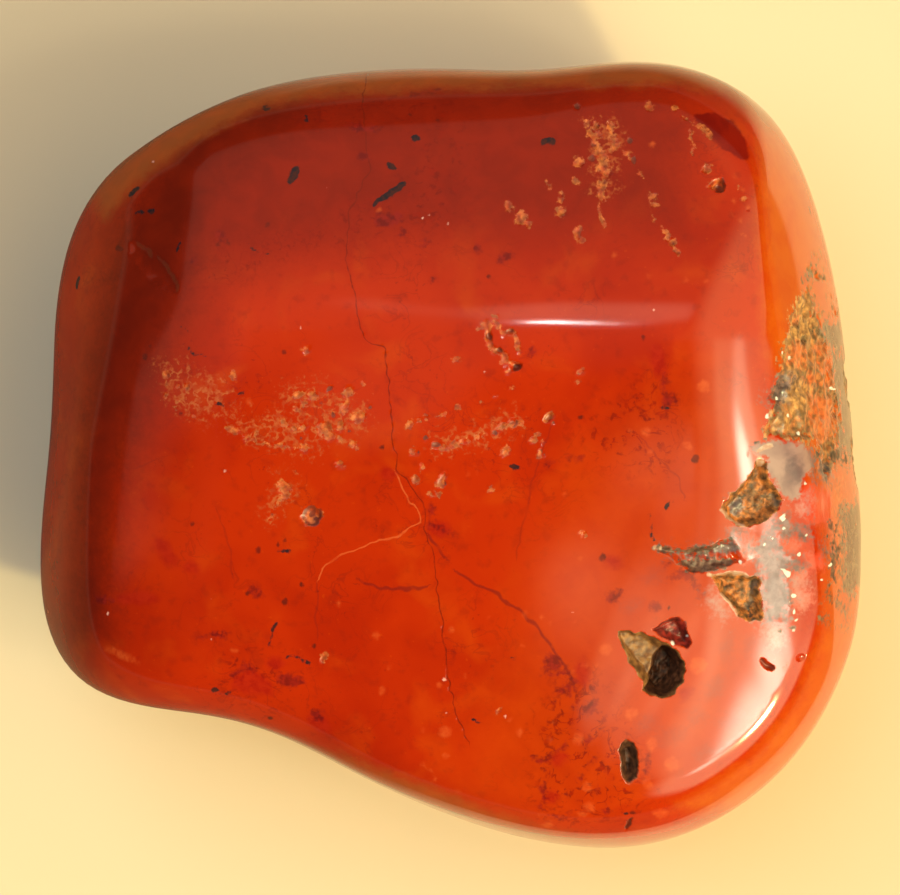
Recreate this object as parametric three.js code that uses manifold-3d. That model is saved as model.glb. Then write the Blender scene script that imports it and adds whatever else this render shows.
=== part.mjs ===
// A tumbled red jasper pebble lying on its broad flat underside, in millimetres, +Z up.
// The origin is on the floor under the middle of its box, with the longest side along X.
import * as THREE from "three";
import { mergeVertices } from "three/addons/utils/BufferGeometryUtils.js";
import Module from "manifold-3d";

// Overall form
const height = 17.5;
const bellyHeight = 8.0;
const leanBelow = 1.3;
const roundPower = 2.2;
const bottomRound = 5.5;
const restCut = 0.12;
const crownRadius = 150;
const crownX = 3.0;
const crownY = 1.0;
const centreHeight = 8.75;
const reach = new THREE.Vector3(17, 16, 8.75);
const sphereDetail = 18;

// Radius of the outline seen from above, one every 15 degrees from +X towards +Y
const outlineRadii = [
  17.1, 17.25, 18.3, 19.35, 18.65, 16.6, 16.1, 16.45, 17.25, 18.0, 18.5, 17.1,
  16.65, 17.7, 18.0, 14.9, 13.35, 13.7, 14.8, 16.6, 18.4, 19.2, 18.95, 17.9,
];

// Roundness of the shoulder between top and wall, and how far the wall leans in by the top: one
// every 30 degrees from +X towards +Y
const shoulderRounds = [1.8, 2.0, 2.1, 2.6, 2.4, 1.5, 1.8, 3.0, 2.4, 2.2, 1.4, 1.0];
const wallLeans = [1.0, 0.8, 0.9, 1.1, 0.9, 0.6, 0.9, 0.9, 0.6, 1.2, 3.0, 3.6];

// Nearly flat faces of the top and of the underside. Each one leans outwards by its tilt in the
// direction of its azimuth (degrees), and starts this far from the middle at the full height.
const topFaces = [
  { name: "main face", azimuth: -100, tilt: 4.5, start: -5.4, blend: 0 },
  { name: "far face", azimuth: 92, tilt: 10.5, start: 6.2, blend: 0.28 },
  { name: "far left bevel", azimuth: 158, tilt: 27, start: 11.9, blend: 0.3 },
  { name: "left bevel", azimuth: 186, tilt: 19, start: 9.0, blend: 0.7 },
  { name: "left side", azimuth: 174, tilt: 58, start: 13.9, blend: 1.2 },
  { name: "right shoulder", azimuth: -6, tilt: 25, start: 11.3, blend: 0.9 },
  { name: "near right shoulder", azimuth: -38, tilt: 15, start: 9.0, blend: 0.8 },
  { name: "right side", azimuth: 7, tilt: 60, start: 13.7, blend: 0.35 },
  { name: "far right corner", azimuth: 52, tilt: 30, start: 15.4, blend: 0.5 },
];
const bottomFaces = [
  { name: "underside", azimuth: 0, tilt: 0, start: 0, blend: 0 },
  { name: "under the far right", azimuth: 30, tilt: 24, start: 8.0, blend: 1.0 },
  { name: "under the far left", azimuth: 150, tilt: 30, start: 9.0, blend: 1.2 },
  { name: "under the near left", azimuth: -110, tilt: 22, start: 6.5, blend: 1.0 },
  { name: "under the near right", azimuth: -35, tilt: 34, start: 10.0, blend: 1.2 },
];

// Slow unevenness left by tumbling: height of each wave, its slope along x, y and z, and its phase
const waves = [
  { size: 0.035, x: 0.32, y: 0.25, z: 0.3, phase: 0.6 },
  { size: 0.03, x: -0.3, y: 0.4, z: -0.22, phase: 2.1 },
  { size: 0.012, x: 0.75, y: -0.55, z: 0.5, phase: 4.0 },
  { size: 0.01, x: 0.35, y: 0.9, z: -0.8, phase: 1.0 },
];

// Places on the top are given as seen from a point high above the pebble, measured on a level at
// about half its height; higher points look farther out from the middle of the view.
const viewHeight = 250;
const viewLevel = 7.6;
const viewMiddle = [-0.06, 0.31];

// Pits in the top with an outline of their own, and the place and depth of the deepest point. Each
// floor is the outline shrunk towards that point.
const pits = [
  {
    name: "funnel pit",
    outline: [
      [7.1, -7.3], [8.6, -7.55], [9.5, -8.05], [9.95, -8.8], [9.7, -9.65],
      [8.9, -10.1], [8.15, -9.65], [8.0, -9.0], [7.55, -8.35],
    ],
    deepest: [9.1, -8.95], depth: 1.5, floor: 0.4,
  },
  {
    name: "red pocket beside the funnel pit",
    outline: [
      [8.5, -7.15], [9.0, -6.8], [9.65, -6.75], [9.95, -7.2], [10.1, -7.8], [9.85, -7.95],
      [9.3, -7.75], [8.8, -7.4],
    ],
    deepest: [9.5, -7.3], depth: 0.45, floor: 0.55,
  },
  {
    name: "near pit",
    outline: [
      [7.05, -12.3], [7.35, -11.9], [7.75, -12.0], [7.95, -12.5], [7.95, -13.0],
      [7.9, -13.4], [7.5, -13.55], [7.25, -13.4], [7.15, -12.9],
    ],
    deepest: [7.5, -12.7], depth: 0.6, floor: 0.55,
  },
  {
    name: "right pocket",
    outline: [
      [12.95, -0.1], [13.3, -0.3], [13.4, -0.9], [13.9, -1.8], [13.7, -2.2], [12.9, -2.85],
      [12.3, -2.8], [11.8, -2.6], [11.4, -2.2], [11.4, -1.95], [12.0, -1.5], [12.5, -0.9],
    ],
    deepest: [12.8, -1.9], depth: 0.4, floor: 0.7,
  },
  {
    name: "pocket below it",
    outline: [
      [10.9, -4.9], [11.55, -4.85], [12.45, -4.9], [12.95, -5.05], [13.0, -6.0], [12.8, -6.7],
      [12.1, -6.7], [11.8, -6.3], [11.4, -5.8],
    ],
    deepest: [12.2, -5.6], depth: 0.4, floor: 0.7,
  },
  {
    name: "gash",
    outline: [
      [8.4, -3.9], [9.0, -3.8], [10.0, -3.85], [10.9, -3.7], [11.9, -3.5], [12.4, -4.4],
      [11.6, -4.6], [10.7, -4.85], [10.2, -4.9], [9.7, -4.6], [9.2, -4.2],
    ],
    deepest: [10.3, -4.2], depth: 0.18, floor: 0.6,
  },
];

// Round and lens-shaped chips: place, direction to the long side, half sizes and depth
const chips = [
  { name: "ring pit", at: [-5.65, -2.5], turn: 30, half: [0.42, 0.36], depth: 0.25 },
  { name: "far right pit", at: [11.3, 11.3], turn: 0, half: [0.34, 0.3], depth: 0.3 },
  { name: "chip by the edge", at: [13.23, -8.62], turn: -38, half: [0.3, 0.19], depth: 0.2 },
  { name: "chain hollow", at: [2.75, 3.7], turn: 20, half: [0.36, 0.26], depth: 0.2 },
  { name: "chain dent", at: [2.1, 4.7], turn: -60, half: [0.75, 0.3], depth: 0.12 },
  { name: "lens chip", at: [-12.3, 7.9], turn: -45, half: [1.45, 0.55], depth: 0.16 },
  { name: "crust hollow on the right side", at: [14.9, 3.9], turn: 95, half: [2.7, 2.0], depth: 0.18 },
];
const edgeChip = { azimuth: 184, z: 9.2, half: [1.1, 0.7], turn: 85, depth: 0.16 };

// A closed smooth curve through evenly spaced values: control values of a cubic B-spline that
// passes through them, found by repeated correction.
function controlValues(values) {
  const count = values.length;
  let control = values.slice();
  for (let pass = 0; pass < 40; pass++) {
    control = control.map((own, i) => {
      const before = control[(i + count - 1) % count];
      const after = control[(i + 1) % count];
      return own + values[i] - (before + 4 * own + after) / 6;
    });
  }
  return control;
}

function around(control, angle) {
  const count = control.length;
  const place = (((angle / (2 * Math.PI)) % 1) + 1) * count;
  const i = Math.floor(place);
  const t = place - i;
  const [a, b, c, d] = [-1, 0, 1, 2].map((step) => control[(i + step + count) % count]);
  return (
    ((1 - t) ** 3 * a +
      (3 * t ** 3 - 6 * t ** 2 + 4) * b +
      (-3 * t ** 3 + 3 * t ** 2 + 3 * t + 1) * c +
      t ** 3 * d) /
    6
  );
}

const outline = controlValues(outlineRadii);
const shoulder = controlValues(shoulderRounds);
const lean = controlValues(wallLeans);

// The larger of two depths, with the crease between them blended
function blendMax(a, b, blend) {
  const overlap = blend > 0 ? Math.max(blend - Math.abs(a - b), 0) / blend : 0;
  return Math.max(a, b) + (overlap * overlap * blend) / 4;
}

// The larger of two depths, with the edge between them rounded over this radius
function roundMax(a, b, radius) {
  const u = Math.max(a + radius, 0);
  const v = Math.max(b + radius, 0);
  return Math.min(-radius, Math.max(a, b)) + (u ** roundPower + v ** roundPower) ** (1 / roundPower);
}

function faceDepth(face, x, y, rise) {
  const azimuth = THREE.MathUtils.degToRad(face.azimuth);
  const tilt = THREE.MathUtils.degToRad(face.tilt);
  const out = Math.cos(azimuth) * x + Math.sin(azimuth) * y - face.start;
  return Math.sin(tilt) * out + Math.cos(tilt) * rise;
}

function facesDepth(faces, x, y, rise) {
  return faces.reduce((deepest, face) => {
    const depth = faceDepth(face, x, y, rise);
    return deepest === null ? depth : blendMax(deepest, depth, face.blend);
  }, null);
}

// Signed depth of a point: negative inside the pebble, zero on its skin, positive outside
function skin(x, y, z) {
  const angle = Math.atan2(y, x);
  const rise = z - bellyHeight;
  const leaning =
    rise > 0
      ? around(lean, angle) * (rise / (height - bellyHeight)) ** 2
      : leanBelow * (rise / bellyHeight) ** 2;
  const wall = Math.hypot(x, y) - around(outline, angle) + leaning;
  const crown = ((x - crownX) ** 2 + (y - crownY) ** 2) / (2 * crownRadius);
  const above = facesDepth(topFaces, x, y, z - height) + crown;
  const below = facesDepth(bottomFaces, x, y, -z) - restCut;
  const body = roundMax(roundMax(wall, above, around(shoulder, angle)), below, bottomRound);
  const uneven = waves.reduce(
    (sum, w) => sum + w.size * Math.sin(w.x * x + w.y * y + w.z * z + w.phase),
    0,
  );
  return Math.max(body + uneven, -z);
}

// Where a straight line from an inner point leaves the pebble
function leaves(from, direction, farthest) {
  let inside = 0;
  let outside = farthest;
  const point = new THREE.Vector3();
  for (let step = 0; step < 40; step++) {
    const middle = (inside + outside) / 2;
    point.copy(from).addScaledVector(direction, middle);
    if (skin(point.x, point.y, point.z) < 0) inside = middle;
    else outside = middle;
  }
  return point.copy(from).addScaledVector(direction, inside);
}

function solid(geometry) {
  geometry.deleteAttribute("normal");
  geometry.deleteAttribute("uv");
  const merged = mergeVertices(geometry, 1e-4);
  return new wasm.Manifold(
    new wasm.Mesh({
      numProp: 3,
      vertProperties: new Float32Array(merged.attributes.position.array),
      triVerts: new Uint32Array(merged.index.array),
    }),
  );
}

// A sphere of small faces, each vertex moved along its own ray onto the skin
function pebbleGeometry() {
  const geometry = new THREE.IcosahedronGeometry(1, sphereDetail);
  const centre = new THREE.Vector3(0, 0, centreHeight);
  const position = geometry.attributes.position;
  const vertex = new THREE.Vector3();
  for (let i = 0; i < position.count; i++) {
    vertex.fromBufferAttribute(position, i).multiply(reach);
    vertex.copy(leaves(centre, vertex, 2));
    position.setXYZ(i, vertex.x, vertex.y, Math.max(vertex.z, 0));
  }
  return geometry;
}

function topHeight(x, y) {
  const middle = new THREE.Vector3(x, y, bellyHeight);
  return leaves(middle, new THREE.Vector3(0, 0, 1), height).z;
}

// The point of the top that is seen at this place from high above
function topPoint([seenX, seenY]) {
  const point = new THREE.Vector3(seenX, seenY, height);
  for (let pass = 0; pass < 4; pass++) {
    const shrink = (viewHeight - point.z) / (viewHeight - viewLevel);
    point.x = viewMiddle[0] + (seenX - viewMiddle[0]) * shrink;
    point.y = viewMiddle[1] + (seenY - viewMiddle[1]) * shrink;
    point.z = topHeight(point.x, point.y);
  }
  return point;
}

// A plug with the pit's outline: flared above the skin, shrunk to the floor around the deepest point
function pitPlug(pit) {
  const sides = pit.outline.length;
  const geometry = new THREE.CylinderGeometry(1, 1, 2, sides, 2);
  const lift = 0.6;
  const flare = 1.12;
  const middle = topPoint(pit.deepest);
  const corners = pit.outline.map(topPoint);
  const floorZ = middle.z - pit.depth;
  const position = geometry.attributes.position;
  for (let i = 0; i < position.count; i++) {
    const level = Math.round(position.getY(i));
    const radius = Math.hypot(position.getX(i), position.getZ(i));
    const turn = Math.atan2(position.getZ(i), position.getX(i)) / (2 * Math.PI);
    const corner = Math.round((turn + 1) * sides) % sides;
    const spread = radius < 0.5 ? 0 : [pit.floor, 1, flare][level + 1];
    const x = middle.x + (corners[corner].x - middle.x) * spread;
    const y = middle.y + (corners[corner].y - middle.y) * spread;
    const z = level < 0 ? floorZ : topHeight(x, y) + lift * level;
    position.setXYZ(i, x, y, z);
  }
  return orientedOut(solid(geometry), geometry);
}

// The outlines above run clockwise seen from above, which turns a plug inside out: it is mirrored
// back by swapping two corners of each face.
function orientedOut(made, geometry) {
  if (made.volume() > 0) return made;
  const index = geometry.index.array;
  for (let i = 0; i < index.length; i += 3) {
    [index[i + 1], index[i + 2]] = [index[i + 2], index[i + 1]];
  }
  return solid(geometry);
}

function skinNormal(point) {
  const step = 1e-3;
  const { x, y, z } = point;
  return new THREE.Vector3(
    skin(x + step, y, z) - skin(x - step, y, z),
    skin(x, y + step, z) - skin(x, y - step, z),
    skin(x, y, z + step) - skin(x, y, z - step),
  ).normalize();
}

// A lens laid into the skin, its centre above it so that it cuts to the chip's depth and sizes
function chipLens(point, chip) {
  const normal = skinNormal(point);
  const turn = THREE.MathUtils.degToRad(chip.turn);
  const along = new THREE.Vector3(Math.cos(turn), Math.sin(turn), 0).projectOnPlane(normal);
  const across = new THREE.Vector3().crossVectors(normal, along.normalize());
  const lift = chip.depth;
  const widen = 1 / Math.sqrt(1 - (lift / (lift + chip.depth)) ** 2);
  const geometry = new THREE.SphereGeometry(1, 16, 10);
  geometry.scale(chip.half[0] * widen, chip.half[1] * widen, chip.depth + lift);
  geometry.applyMatrix4(new THREE.Matrix4().makeBasis(along, across, normal));
  const centre = point.clone().addScaledVector(normal, lift);
  geometry.translate(centre.x, centre.y, centre.z);
  return solid(geometry);
}

const wasm = await Module();
wasm.setup();

let pebble = solid(pebbleGeometry());
for (const pit of pits) {
  pebble = pebble.subtract(pitPlug(pit));
}
for (const chip of chips) {
  pebble = pebble.subtract(chipLens(topPoint(chip.at), chip));
}
const sideways = THREE.MathUtils.degToRad(edgeChip.azimuth);
const sidePoint = leaves(
  new THREE.Vector3(0, 0, edgeChip.z),
  new THREE.Vector3(Math.cos(sideways), Math.sin(sideways), 0),
  2 * reach.x,
);
pebble = pebble.subtract(chipLens(sidePoint, edgeChip));

const cut = pebble.getMesh();
const geometry = new THREE.BufferGeometry();
geometry.setAttribute("position", new THREE.BufferAttribute(cut.vertProperties, 3));
geometry.setIndex(new THREE.BufferAttribute(cut.triVerts, 1));
geometry.computeBoundingBox();
const middle = geometry.boundingBox.getCenter(new THREE.Vector3());
geometry.translate(-middle.x, -middle.y, 0);
geometry.computeVertexNormals();

const jasper = new THREE.MeshStandardMaterial({ color: 0xc83a10, roughness: 0.15 });
const stone = new THREE.Mesh(geometry, jasper);
stone.name = "stone";

const group = new THREE.Group();
group.name = "red_jasper";
group.add(stone);

export default group;
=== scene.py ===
import math

import bmesh
import bpy
import numpy as np
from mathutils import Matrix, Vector


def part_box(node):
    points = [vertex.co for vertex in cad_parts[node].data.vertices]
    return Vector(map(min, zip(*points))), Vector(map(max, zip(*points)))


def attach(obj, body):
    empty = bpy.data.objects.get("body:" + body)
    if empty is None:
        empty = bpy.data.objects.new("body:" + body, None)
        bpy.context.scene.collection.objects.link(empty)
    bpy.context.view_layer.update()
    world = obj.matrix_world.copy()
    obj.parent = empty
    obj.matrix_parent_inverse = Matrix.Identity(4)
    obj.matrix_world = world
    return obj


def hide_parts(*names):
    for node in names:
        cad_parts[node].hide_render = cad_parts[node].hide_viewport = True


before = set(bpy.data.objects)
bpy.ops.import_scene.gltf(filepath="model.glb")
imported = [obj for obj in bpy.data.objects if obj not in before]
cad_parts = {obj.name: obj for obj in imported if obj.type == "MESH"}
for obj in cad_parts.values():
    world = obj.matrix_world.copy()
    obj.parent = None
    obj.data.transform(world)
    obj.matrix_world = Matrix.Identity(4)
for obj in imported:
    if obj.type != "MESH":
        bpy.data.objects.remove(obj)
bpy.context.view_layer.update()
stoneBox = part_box("stone")
print("frame loaded")

mm = 0.001

# Everything about the pebble is in millimetres: x to the right, y away, z up from the floor.
# The finished mesh is laid into the CAD stone's own box.

# Marks and hollows are placed as they are seen from above, measured at the widest height
seenFrom = {"height": 250.0, "level": 7.6, "middle": (-0.06, 0.31)}


# The tumbled form

stoneForm = {
    "height": 17.5,
    "bellyHeight": 8.0,
    "leanBelow": 1.3,
    "roundPower": 2.2,
    "bottomRound": 5.5,
    "restCut": 0.12,
    "crown": (3.0, 1.0, 150.0),         # middle of the crowned top and its radius
    "centre": (0.0, 0.0, 8.75),
    "reach": (17.0, 16.0, 8.75),
    "between": (0.4, 1.9),              # the skin is looked for between these shares of the reach
    # radius of the outline every 15 degrees from +x towards +y
    "outline": [
        17.1, 17.25, 18.3, 19.35, 18.65, 16.6, 16.1, 16.45, 17.25, 18.0, 18.5, 17.1,
        16.65, 17.7, 18.0, 14.9, 13.35, 13.7, 14.8, 16.6, 18.4, 19.2, 18.95, 17.9,
    ],
    # roundness of the shoulder, and how far the wall leans in at the top, every 30 degrees
    "shoulders": [1.8, 2.0, 2.1, 2.6, 2.4, 1.5, 1.8, 3.0, 2.4, 2.2, 1.4, 1.0],
    "leans": [1.0, 0.8, 0.9, 1.1, 0.9, 0.6, 0.9, 0.9, 0.6, 1.2, 3.0, 3.6],
    # azimuth, tilt, distance from the middle where it starts, blend with its neighbours
    "topFaces": [
        (-100, 4.5, -5.4, 0),
        (92, 10.5, 6.2, 0.28),
        (158, 27, 11.9, 0.3),
        (186, 19, 9.0, 0.7),
        (174, 58, 13.9, 1.2),
        (-6, 25, 11.3, 0.9),
        (-38, 15, 9.0, 0.8),
        (7, 60, 13.7, 0.35),
        (52, 30, 15.4, 0.5),
    ],
    "bottomFaces": [
        (0, 0, 0, 0),
        (30, 24, 8.0, 1.0),
        (150, 30, 9.0, 1.2),
        (-110, 22, 6.5, 1.0),
        (-35, 34, 10.0, 1.2),
    ],
    # size, slope along x, y and z, phase
    "waves": [
        (0.035, 0.32, 0.25, 0.3, 0.6),
        (0.03, -0.3, 0.4, -0.22, 2.1),
        (0.012, 0.75, -0.55, 0.5, 4.0),
        (0.01, 0.35, 0.9, -0.8, 1.0),
    ],
}


def closedCurve(values):
    # control values of a closed cubic B-spline that passes through the values
    values = np.array(values, float)
    control = values.copy()
    for _ in range(40):     # more than it takes to settle
        control += values - (np.roll(control, 1) + 4 * control + np.roll(control, -1)) / 6
    return control


def curveAt(control, angle):
    count = len(control)
    place = (angle / (2 * np.pi) * count) % count
    i = np.floor(place).astype(int) % count
    t = place - np.floor(place)
    a, b, c, d = (control[(i + step) % count] for step in (-1, 0, 1, 2))
    return ((1 - t) ** 3 * a + (3 * t**3 - 6 * t**2 + 4) * b
            + (-3 * t**3 + 3 * t**2 + 3 * t + 1) * c + t**3 * d) / 6


outlineCurve = closedCurve(stoneForm["outline"])
shoulderCurve = closedCurve(stoneForm["shoulders"])
leanCurve = closedCurve(stoneForm["leans"])


def blendMax(a, b, blend):
    if blend == 0:
        return np.maximum(a, b)
    overlap = np.maximum(blend - np.abs(a - b), 0) / blend
    return np.maximum(a, b) + overlap**2 * blend / 4


def roundMax(a, b, radius):
    power = stoneForm["roundPower"]
    u = np.maximum(a + radius, 0)
    v = np.maximum(b + radius, 0)
    return np.minimum(-radius, np.maximum(a, b)) + (u**power + v**power) ** (1 / power)


def facesDepth(faces, x, y, rise):
    deepest = None
    for azimuth, tilt, start, blend in faces:
        azimuth, tilt = math.radians(azimuth), math.radians(tilt)
        out = math.cos(azimuth) * x + math.sin(azimuth) * y - start
        depth = math.sin(tilt) * out + math.cos(tilt) * rise
        deepest = depth if deepest is None else blendMax(deepest, depth, blend)
    return deepest


def skin(points):
    # negative inside the stone, zero on its skin
    x, y, z = points.T
    height, belly = stoneForm["height"], stoneForm["bellyHeight"]
    angle = np.arctan2(y, x)
    rise = z - belly
    above = curveAt(leanCurve, angle) * (rise / (height - belly)) ** 2
    leaning = np.where(rise > 0, above, stoneForm["leanBelow"] * (rise / belly) ** 2)
    wall = np.hypot(x, y) - curveAt(outlineCurve, angle) + leaning
    crownX, crownY, crownRadius = stoneForm["crown"]
    crown = ((x - crownX) ** 2 + (y - crownY) ** 2) / (2 * crownRadius)
    top = facesDepth(stoneForm["topFaces"], x, y, z - height) + crown
    bottom = facesDepth(stoneForm["bottomFaces"], x, y, -z) - stoneForm["restCut"]
    body = roundMax(roundMax(wall, top, curveAt(shoulderCurve, angle)), bottom, stoneForm["bottomRound"])
    for size, sx, sy, sz, phase in stoneForm["waves"]:
        body = body + size * np.sin(sx * x + sy * y + sz * z + phase)
    return np.maximum(body, -z)


def onSkin(directions):
    # where straight lines from the middle leave the stone
    centre = np.array(stoneForm["centre"])
    lines = directions * np.array(stoneForm["reach"])
    inside, outside = (np.full(len(lines), share) for share in stoneForm["between"])
    for _ in range(30):     # halved until nothing is left to halve
        between = (inside + outside) / 2
        within = skin(centre + lines * between[:, None]) < 0
        inside = np.where(within, between, inside)
        outside = np.where(within, outside, between)
    return centre + lines * inside[:, None]


def unit(vectors):
    return vectors / np.maximum(np.linalg.norm(vectors, axis=1, keepdims=True), 1e-12)


def skinNormals(points):
    step = 1e-3
    slopes = []
    for axis in range(3):
        nudge = np.zeros(3)
        nudge[axis] = step
        slopes.append(skin(points + nudge) - skin(points - nudge))
    return unit(np.stack(slopes, -1))


def seenPlaces(points):
    # where each point shows in the view from above; higher points show further out
    middleX, middleY = seenFrom["middle"]
    nearer = (seenFrom["height"] - seenFrom["level"]) / (seenFrom["height"] - points[:, 2])
    return middleX + (points[:, 0] - middleX) * nearer, middleY + (points[:, 1] - middleY) * nearer


# Smooth noise for uneven edges and worn places

grainCells = 32
grainTable = np.random.default_rng(5).random((grainCells, grainCells, grainCells))


def grain(points, size):
    # smooth noise from 0 to 1 with features of about this size
    place = points / size + 100.0
    cell = np.floor(place).astype(int)
    t = place - cell
    t = t * t * (3 - 2 * t)
    total = np.zeros(len(points))
    for corner in range(8):
        step = np.array([corner & 1, corner >> 1 & 1, corner >> 2 & 1])
        weight = np.prod(np.where(step, t, 1 - t), axis=1)
        total += weight * grainTable[tuple(((cell + step) % grainCells).T)]
    return total


def smooth(value, start, end):
    t = np.clip((value - start) / (end - start), 0, 1)
    return t * t * (3 - 2 * t)


# Distances to marks drawn on the stone, in the view from above

tooFar = 3.0     # marks further away than this don't matter to a point
margin = 1.5     # how far around a mark the distance to it is worked out


def segmentDistance(x, y, start, end):
    # distance to a segment, and on which side of it the point lies
    dx, dy = end[0] - start[0], end[1] - start[1]
    ax, ay = x - start[0], y - start[1]
    along = np.clip((ax * dx + ay * dy) / max(dx * dx + dy * dy, 1e-9), 0, 1)
    away = np.hypot(ax - along * dx, ay - along * dy)
    return away, np.sign(dx * ay - dy * ax)


def lineDistance(x, y, paths):
    # distance to the nearest of some lines, and on which side of it the point lies
    nearest = np.full(x.shape, tooFar)
    side = np.ones(x.shape)
    for path in paths:
        for start, end in zip(path, path[1:]):
            away, turn = segmentDistance(x, y, start, end)
            closer = away < nearest
            nearest = np.where(closer, away, nearest)
            side = np.where(closer, turn, side)
    return nearest, side


def areaDistance(x, y, outline):
    # negative inside the outline
    nearest = np.full(x.shape, tooFar)
    inside = np.zeros(x.shape, bool)
    for start, end in zip(outline, outline[1:] + outline[:1]):
        nearest = np.minimum(nearest, segmentDistance(x, y, start, end)[0])
        crosses = (start[1] > y) != (end[1] > y)
        if start[1] != end[1]:
            at = start[0] + (y - start[1]) * (end[0] - start[0]) / (end[1] - start[1])
            inside ^= crosses & (x < at)
    return np.where(inside, -nearest, nearest)


def ovalDistance(x, y, cx, cy, half, across, turn):
    turn = math.radians(turn)
    u = (x - cx) * math.cos(turn) + (y - cy) * math.sin(turn)
    v = (y - cy) * math.cos(turn) - (x - cx) * math.sin(turn)
    share = np.hypot(u / half, v / across)
    slope = np.hypot(u / half**2, v / across**2)
    return np.where(share < 0.05, -min(half, across), share * (share - 1) / np.maximum(slope, 1e-9))


def extent(points):
    # the middle of some points, and how far they reach from it
    middle = np.mean(points, axis=0)
    return *middle, np.abs(np.array(points) - middle).max()


def markDistance(x, y, kind):
    # signed distance to the nearest mark of one kind
    nearest = np.full(x.shape, tooFar)

    def take(cx, cy, size, measure):
        near = np.flatnonzero((np.abs(x - cx) < size + margin) & (np.abs(y - cy) < size + margin))
        nearest[near] = np.minimum(nearest[near], measure(x[near], y[near]))

    for cx, cy, radius in kind.get("spots", []):
        take(cx, cy, radius, lambda px, py: np.hypot(px - cx, py - cy) - radius)
    for cx, cy, half, across, turn in kind.get("ovals", []):
        take(cx, cy, half, lambda px, py: ovalDistance(px, py, cx, cy, half, across, turn))
    for width, path in kind.get("strokes", []):
        take(*extent(path), lambda px, py: lineDistance(px, py, [path])[0] - width)
    for outline in kind.get("areas", []):
        take(*extent(outline), lambda px, py: areaDistance(px, py, outline))
    return nearest


# Hollows in the polish: outline, depth, how steeply the wall falls and how rough the bottom is.
# A ramp is a sloping bottom: where it starts, its azimuth and its slope.

pits = {
    "funnel": {
        "outline": [
            (7.1, -7.25), (8.0, -7.35), (8.6, -7.5), (9.1, -7.75), (9.55, -8.05), (9.8, -8.45),
            (9.95, -8.85), (9.85, -9.3), (9.6, -9.7), (9.3, -9.95), (8.9, -10.1), (8.5, -9.95),
            (8.15, -9.75), (8.1, -9.3), (7.9, -8.95), (7.55, -8.5), (7.3, -7.9),
        ],
        "depth": 0.75, "wall": 2.2, "rough": 0.05,
        "ramp": (7.0, -7.2, -38, 0.42),
    },
    "funnel throat": {
        "outline": [
            (8.95, -7.85), (9.5, -8.1), (9.8, -8.5), (9.9, -8.9), (9.8, -9.35), (9.55, -9.7),
            (9.2, -9.95), (8.85, -10.05), (8.45, -9.9), (8.2, -9.7), (8.45, -9.35), (8.6, -8.8),
            (8.7, -8.3),
        ],
        "depth": 0.8, "wall": 2.6, "rough": 0.05,
    },
    "red pocket": {
        "outline": [
            (8.5, -7.15), (8.8, -6.9), (9.2, -6.75), (9.65, -6.75), (9.85, -7.0), (9.95, -7.35),
            (10.1, -7.75), (9.95, -7.98), (9.6, -7.85), (9.25, -7.7), (8.85, -7.45),
        ],
        "depth": 0.42, "wall": 1.6, "rough": 0.1,
    },
    "near pit": {
        "outline": [
            (7.05, -12.3), (7.2, -12.0), (7.4, -11.88), (7.75, -12.0), (7.92, -12.4),
            (7.95, -13.0), (7.9, -13.4), (7.5, -13.55), (7.25, -13.4), (7.15, -12.9),
        ],
        "depth": 0.6, "wall": 1.9, "rough": 0.06,
    },
    "right pocket": {
        "outline": [
            (12.95, -0.1), (13.3, -0.3), (13.4, -0.9), (13.7, -1.4), (13.9, -1.8), (13.7, -2.2),
            (13.2, -2.6), (12.9, -2.85), (12.1, -2.9), (11.6, -2.6), (11.4, -2.2), (11.4, -1.95),
            (12.0, -1.5), (12.5, -0.9), (12.7, -0.5),
        ],
        "depth": 0.4, "wall": 1.3, "rough": 0.09,
    },
    "pocket below it": {
        "outline": [
            (10.9, -4.9), (11.55, -4.85), (12.45, -4.9), (12.95, -5.05), (13.05, -6.0),
            (13.1, -6.8), (12.5, -6.9), (12.05, -6.7), (11.85, -6.2), (11.4, -5.7),
        ],
        "depth": 0.4, "wall": 1.3, "rough": 0.08,
    },
    "gash": {
        "outline": [
            (8.4, -3.9), (9.0, -3.8), (10.0, -3.85), (10.9, -3.7), (11.3, -3.5), (11.9, -3.5),
            (12.0, -4.0), (12.4, -4.4), (11.6, -4.6), (10.7, -4.85), (10.2, -4.9), (9.7, -4.6),
            (9.2, -4.2),
        ],
        "depth": 0.2, "wall": 0.9, "rough": 0.05,
    },
}

# Small round hollows: x, y, half length, half width, turn and depth
chips = [
    (-5.65, -2.5, 0.42, 0.36, 30, 0.12),
    (11.3, 11.3, 0.34, 0.3, 0, 0.24),
    (13.23, -8.62, 0.36, 0.19, -38, 0.2),
    (14.7, -8.35, 0.2, 0.2, 0, 0.08),
    (2.8, 3.77, 0.28, 0.22, 10, 0.18),
    (1.69, 5.0, 0.22, 0.19, -60, 0.1),
    (2.15, 4.46, 0.17, 0.14, -60, 0.1),
    (2.6, 5.17, 0.13, 0.12, -30, 0.08),
    (-12.3, 7.9, 1.5, 0.52, -45, 0.15),
    (-0.5, 0.55, 0.25, 0.15, 0, 0.04),
    (-0.3, -0.95, 0.35, 0.15, 70, 0.03),
    (4.2, 1.7, 0.3, 0.2, 30, 0.04),
    (7.5, -15.4, 0.3, 0.1, 60, 0.1),
]


# Marks: where each colour shows. Spots are x, y and radius. Ovals are x, y, half length, half
# width and turn. Strokes are a half width and the points they run through. Areas are outlines.

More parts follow.
